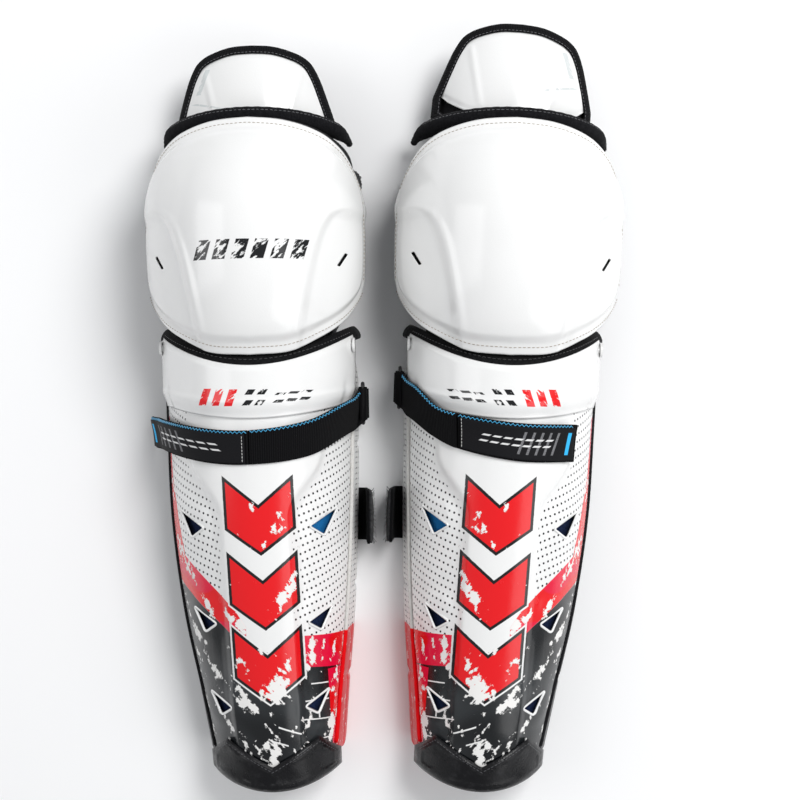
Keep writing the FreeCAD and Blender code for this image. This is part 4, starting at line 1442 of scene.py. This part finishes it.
def thigh_rim(count, drop):
    """Evenly spaced points round the thigh guard's edge, in plan, counter-clockwise."""
    walk = [(56.5 * math.sin(math.pi * (k / 200 - 0.5)), 0) for k in range(201)]
    walk += [(x, 1) for x, _ in reversed(walk)]
    path = [Vector((x, thigh_edges(x, 0, drop)[side], 0)) for x, side in walk]
    path.append(path[0])
    whole = sum((b - a).length for a, b in zip(path, path[1:]))
    return [point for point, _ in even_steps(path, whole / count)][:count]


THIGH_CHANNELS = (-24, 24)

# Round the binding's tape, from its outer face to its inner one: inset from the rim, out from the surface.
TAPE_SECTION = [(6.2, 0.5), (4.6, 1.05), (1.6, 1.05), (0.3, 0.3), (0.0, -1.2), (0.0, -9.4), (0.3, -10.6)]
TAPE_SECTION += [(1.4, -11.2), (3.6, -11.2), (5.0, -10.8), (4.8, -9.9), (1.6, -9.4), (1.6, -0.9), (4.8, -0.3)]


def thigh_guard(guard, skin, foam, tape, thread):
    drop = guard.flap_raise * 0.9

    def plate(s, t):
        _, _, low, high, across = thigh_at(s, t, 4.2, 0)
        low = min(high - 0.4, max(low, through(PLATE_LOW, abs(across))))
        along = low + (high - low) * t
        edge = min(along - low, high - along, (1 - abs(2 * s - 1)) * 52)
        out = -0.5 + 1.0 * ramp(edge, 1, 6)
        out += 0.9 * (1 - ramp(abs(abs(across) - 30 - (along - 480) * 0.25), 0, 3.5)) * ramp(edge, 3, 9)
        point = lay("thigh", across, along, out)
        return point, (arc_length("thigh", along, math.asin(max(-1, min(1, across / 62)))), along)

    guard.panel("thigh_plate", grid(80, 46, plate), 2.2, 0, skin, "thigh", ["thigh_plate"], "cap_white")

    def pad(s, t):
        front, along, low, high, across = thigh_at(s, t, 3.0, -3.1, drop)
        back = lay("thigh", across * 0.87, along, -9.6)
        edge = min(along - low, high - along, (1 - abs(2 * s - 1)) * 54)
        channel = groove(across, THIGH_CHANNELS, 3) * 1.8
        return front, back + Vector((0, 0, channel)), edge, (across, along)

    shape = pillow(56, 36, pad, 3.6)
    piece = guard.cushion(0.7, "thigh_pad", shape, foam, "thigh", ["thigh_pad"], "foam_black")

    def held(across, along):
        low, high = thigh_edges(across, 0, drop)
        rim = min(along - low, high - along)
        return max(groove(across, THIGH_CHANNELS, 3), 1 - ramp(rim, 5, 8), ramp(abs(across), 48, 51))

    fill(piece, shape[2], held, 1.5)

    def skirt(s, t):
        across, along = 54.0 * (2 * s - 1), 444.5 + 22 * t
        front, back = lay("thigh", across * 0.96, along, -4.4), lay("thigh", across * 0.88, along, -8.4)
        return front, back, min(24 * t, 24 * (1 - t), (1 - abs(2 * s - 1)) * 54), (across, along)

    guard.cushion(0.5, "thigh_skirt", pillow(60, 14, skirt, 2.0), foam, "thigh", slot="foam_black")
    rim = thigh_rim(220, drop)
    guard.make("thigh_binding", folded_tape(rim), tape, "thigh", ["thigh_binding"], "binding_black")
    seam = [tape_point(rim, k % len(rim), 5.0, 1.05) for k in range(len(rim) + 1)]
    seam = stitches(seam, 2.6, 1.8, 0.26)
    guard.make("binding_stitches", seam, thread, "thigh", slot="binding_black")


def tape_point(rim, k, inset, out):
    """A point of the binding, inset from the rim and out from the thigh guard's surface."""
    ahead = (rim[(k + 2) % len(rim)] - rim[k - 2]).normalized()
    inward = Vector((-ahead.y, ahead.x, 0))
    place = rim[k] + inward * inset
    narrower = 1 + min(0.0, out + 1.0) / 62
    return lay("thigh", place.x * narrower, place.y, out)


def folded_tape(rim):
    """Tape folded over the rim, from its outer face round to its inner face."""
    points, faces, marks = [], [], []
    turns = len(TAPE_SECTION)
    travelled = 0.0
    for k, place in enumerate(rim):
        if k:
            travelled += (place - rim[k - 1]).length
        for j, (inset, out) in enumerate(TAPE_SECTION):
            points.append(tape_point(rim, k, inset, out))
            marks.append((travelled, j * 1.6))
    count = len(rim)
    for k in range(count):
        for j in range(turns):
            a, b = k * turns + j, k * turns + (j + 1) % turns
            c, d = ((k + 1) % count) * turns + (j + 1) % turns, ((k + 1) % count) * turns + j
            faces.append((a, b, c, d))
    return points, faces, marks


# ---------------------------------------------------------------- materials of the wings and patches


def perforated_wing():
    """The inner wing's skin: white above with rows of small holes painted dark as painted shade, red lower
    down the leg.
    """
    paint = Paint("perforated_wing", 0.42, Coat_Weight=0.2)
    laid = paint.place("laid")
    along, height = paint.split(laid)
    shade = paint.noise(laid, 0.05, 3, 0.5)
    colour = paint.mix(shade, (0.74, 0.74, 0.73), (0.82, 0.82, 0.81))
    edge = along + paint.noise(laid, 0.2, 4, 0.6) * 4.0
    red = 1.0 - paint.step(edge, 108.5, 109.5)
    colour = paint.mix(red, colour, paint.mix(shade, CRIMSON, RED))
    worn = paint.step(paint.noise(paint.stretch(laid, (0.4, 1, 1)), 0.25, 6, 0.68), 0.60, 0.63)
    colour = paint.mix(worn * red, colour, (0.74, 0.68, 0.66))
    shaded_holes = dots(paint, laid, (3.8, 4.2), 0.6) * (1.0 - red)
    shaded_holes = shaded_holes * paint.step(height, 3, 5)
    # The perforations are painted dark: painted shade inside each hole, over the padding behind it.
    colour = paint.mix(shaded_holes, colour, (0.05, 0.05, 0.055))
    paint.colour(colour)
    paint.bump(shaded_holes * -1.0, 0.0004)
    paint.bump(paint.noise(laid, 0.7, 4, 0.6), 0.0004, 0.5)
    return paint.material


def hook_patch():
    """The fuzzy hook and loop patches."""
    paint = Paint("hook_patch", 0.95, Sheen_Weight=0.1, Sheen_Roughness=0.6, Specular_IOR_Level=0.1)
    laid = paint.place("laid")
    loops = paint.cells(laid, 1.3, 0.9)
    tufts = paint.noise(laid, 0.45, 6, 0.7)
    amount = loops * 0.5 + tufts * 0.7
    paint.colour(paint.mix(paint.step(amount, 0.35, 0.9), (0.004, 0.004, 0.005), (0.04, 0.04, 0.043)))
    paint.bump(loops, 0.0006)
    paint.bump(tufts, 0.0009, 0.8)
    return paint.material


def floor_material():
    """A plain pale matt floor."""
    paint = Paint("pale_floor", 0.9, Specular_IOR_Level=0.1)
    where = paint.body()
    paint.colour(paint.mix(paint.noise(where, 3.0, 2, 0.5), (0.93, 0.93, 0.935), (0.95, 0.95, 0.95)))
    return paint.material


# ---------------------------------------------------------------- the pair


def make_materials():
    return {
        "shell": shell_skin(),
        "rim": moulded_white("vent_rim"),
        "quilt": fabric("navy_quilt", (0.004, 0.007, 0.025), (0.014, 0.026, 0.075), 0.8, TAG, NAVY_TAG),
        "collar": moulded_white("collar_skin", *collar_print()),
        "foam": fabric("black_foam", (0.003, 0.003, 0.0035), (0.013, 0.013, 0.014), 0.55, mesh=False),
        "leather": worn_leather("ankle_leather", (0.003, 0.003, 0.004), (0.012, 0.012, 0.014)),
        "inner_wing": perforated_wing(),
        "outer_wing": worn_leather("outer_wing_skin", (0.008, 0.008, 0.010), (0.03, 0.03, 0.034), 0.7, 0.5),
        "white_piping": fabric("white_piping", (0.62, 0.61, 0.58), (0.8, 0.79, 0.77), 1.4, LOW_DOWN),
        "piping": fabric("piping_cloth", (0.004, 0.004, 0.005), (0.022, 0.022, 0.024), 1.4),
        "strap": webbing("strap_webbing"),
        "floor_strap": webbing("plain_webbing", ribs=1.1),
        "teal": webbing("teal_webbing", (0.004, 0.09, 0.11), 1.1, (0.012, 0.22, 0.26)),
        "patch": printed_tab(),
        "hooks": hook_patch(),
        "ring": hard_plastic("ring_plastic", (0.012, 0.012, 0.013), (0.05, 0.05, 0.05)),
        "sling": hard_plastic("sling_plastic", (0.016, 0.016, 0.018), (0.06, 0.06, 0.06), 0.5),
        "rivet": steel("rivet_steel"),
        "cap_printed": moulded_white("cap_skin_printed", (), knee_print(), 0.60),
        "cap": moulded_white("cap_skin"),
        "mesh": fabric("spacer_mesh", (0.002, 0.002, 0.003), (0.035, 0.035, 0.038), 0.7),
        "roll": fabric("roll_cloth", (0.003, 0.003, 0.004), (0.014, 0.014, 0.016), 1.0),
        "plate": moulded_white("plate_skin", faint_marks=plate_print()),
        "tape": webbing("binding_tape", ribs=1.2, lighter=(0.02, 0.02, 0.022)),
        "blue_thread": thread("blue_thread", (0.05, 0.50, 0.90)),
        "white_thread": thread("white_thread", (0.72, 0.72, 0.70)),
        "black_thread": thread("black_thread", (0.012, 0.012, 0.014)),
        "grey_thread": thread("grey_thread", (0.10, 0.10, 0.11)),
        "beige_thread": thread("beige_thread", (0.42, 0.36, 0.29)),
    }


def dress(frame, node, material):
    """Gives a CAD node its finish."""
    shown = frame["nodes"][node]
    shown.data.materials.clear()
    shown.data.materials.append(material)


def make_guard(hand, m):
    guard = Guard(hand)
    shin_shell(guard, m["shell"], m["rim"])
    shin_liner(guard, m["quilt"])
    collar(guard, m["collar"], m["foam"], m["black_thread"])
    ankle_guard(guard, m["leather"], m["grey_thread"])
    wing(guard, "medial_wing", 1, m["inner_wing"])
    wing(guard, "lateral_wing", -1, m["outer_wing"])
    shell_piping(guard, m["piping"], m["white_piping"], m["grey_thread"], m["beige_thread"])
    front_strap(guard, m["strap"], m["blue_thread"])
    strap_tab(guard, m["patch"], m["strap"], m["blue_thread"], m["white_thread"])
    # Each ring: across, its two bars' heights, the bar and far end of its anchor loop, and the loop's lean.
    for name, across, bars, bar, far, lean, span, cloth, body in (
        ("strap", 71.8, (21, 33), 21, 3.4, -1, (STRAPS[hand]["low"], 23), "floor_strap", "shin"),
        ("calf", -48, (4, 16), 16, 29.6, 1.0, CALF_SPAN, "floor_strap", "shin"),
        ("knee", -71, (4, 16), 16, 36.6, 8, KNEE_SPAN, "teal", "knee"),
    ):
        ring(guard, name + "_ring", across, *bars, *span, m["ring"], body)
        finish = m[cloth], m["grey_thread"], body
        anchor(guard, name + "_anchor", across, bar, far, *span, lean, *finish)
    finish = m["floor_strap"], m["hooks"], m["grey_thread"]
    floor_strap(guard, "calf_strap", *CALF_SPAN, 48, 73, 38, 1.5, 1.8, *finish)
    floor_strap(guard, "knee_strap", *KNEE_SPAN, 71, 71, 37, -3.4, 0.0, *finish)
    knee_cap(guard, m["cap_printed" if hand == "right" else "cap"], m["foam"], m["beige_thread"])
    knee_liner(guard, m["mesh"], m["roll"], m["grey_thread"])
    thigh_guard(guard, m["plate"], m["foam"], m["tape"], m["grey_thread"])
    for node, material in (("strap_rivets", "rivet"), ("knee_slings", "sling"), ("pivot_rivets", "rim")):
        dress(frame, f"{hand}_{node}", m[material])


# ---------------------------------------------------------------- floor, light and camera


def make_stage():
    mesh = bpy.data.meshes.new("floor")
    far = 4.0
    mesh.from_pydata([(-far, -far, 0), (far, -far, 0), (far, far, 0), (-far, far, 0)], [], [(0, 1, 2, 3)])
    mesh.materials.append(floor_material())
    floor = bpy.data.objects.new("floor", mesh)
    bpy.context.scene.collection.objects.link(floor)


def make_light(name, place, target, size, power):
    data = bpy.data.lights.new(name, "AREA")
    data.energy, data.size = power, size
    lamp = bpy.data.objects.new(name, data)
    lamp.location = place
    lamp.rotation_euler = (Vector(target) - Vector(place)).to_track_quat("-Z", "Y").to_euler()
    bpy.context.scene.collection.objects.link(lamp)


def make_lights():
    middle = (0, 0, 0.05)
    make_light("key", (0.75, 0.75, 1.55), middle, 0.8, 25)
    make_light("left_window", (-1.4, 0.1, 1.1), middle, 1.1, 6)
    make_light("right_fill", (1.4, -0.7, 1.2), middle, 1.2, 7.5)
    world = bpy.data.worlds.new("room")
    bpy.context.scene.world = world
    world.use_nodes = True
    world.node_tree.nodes["Background"].inputs["Color"].default_value = (0.95, 0.97, 1.0, 1)
    world.node_tree.nodes["Background"].inputs["Strength"].default_value = 0.38


CAMERA_PLACE = (0.0126, 0.0045, 1.1)
CAMERA_LENS = 68.5


def make_camera():
    """Straight above the pair, a little over a metre up."""
    data = bpy.data.cameras.new("camera")
    data.sensor_width = 36
    data.lens = CAMERA_LENS
    camera = bpy.data.objects.new("camera", data)
    camera.location = CAMERA_PLACE
    bpy.context.scene.collection.objects.link(camera)
    bpy.context.scene.camera = camera


bpy.context.scene.view_settings.view_transform = "Standard"
finishes = make_materials()
for hand in GUARDS:
    make_guard(hand, finishes)
make_stage()
make_lights()
make_camera()
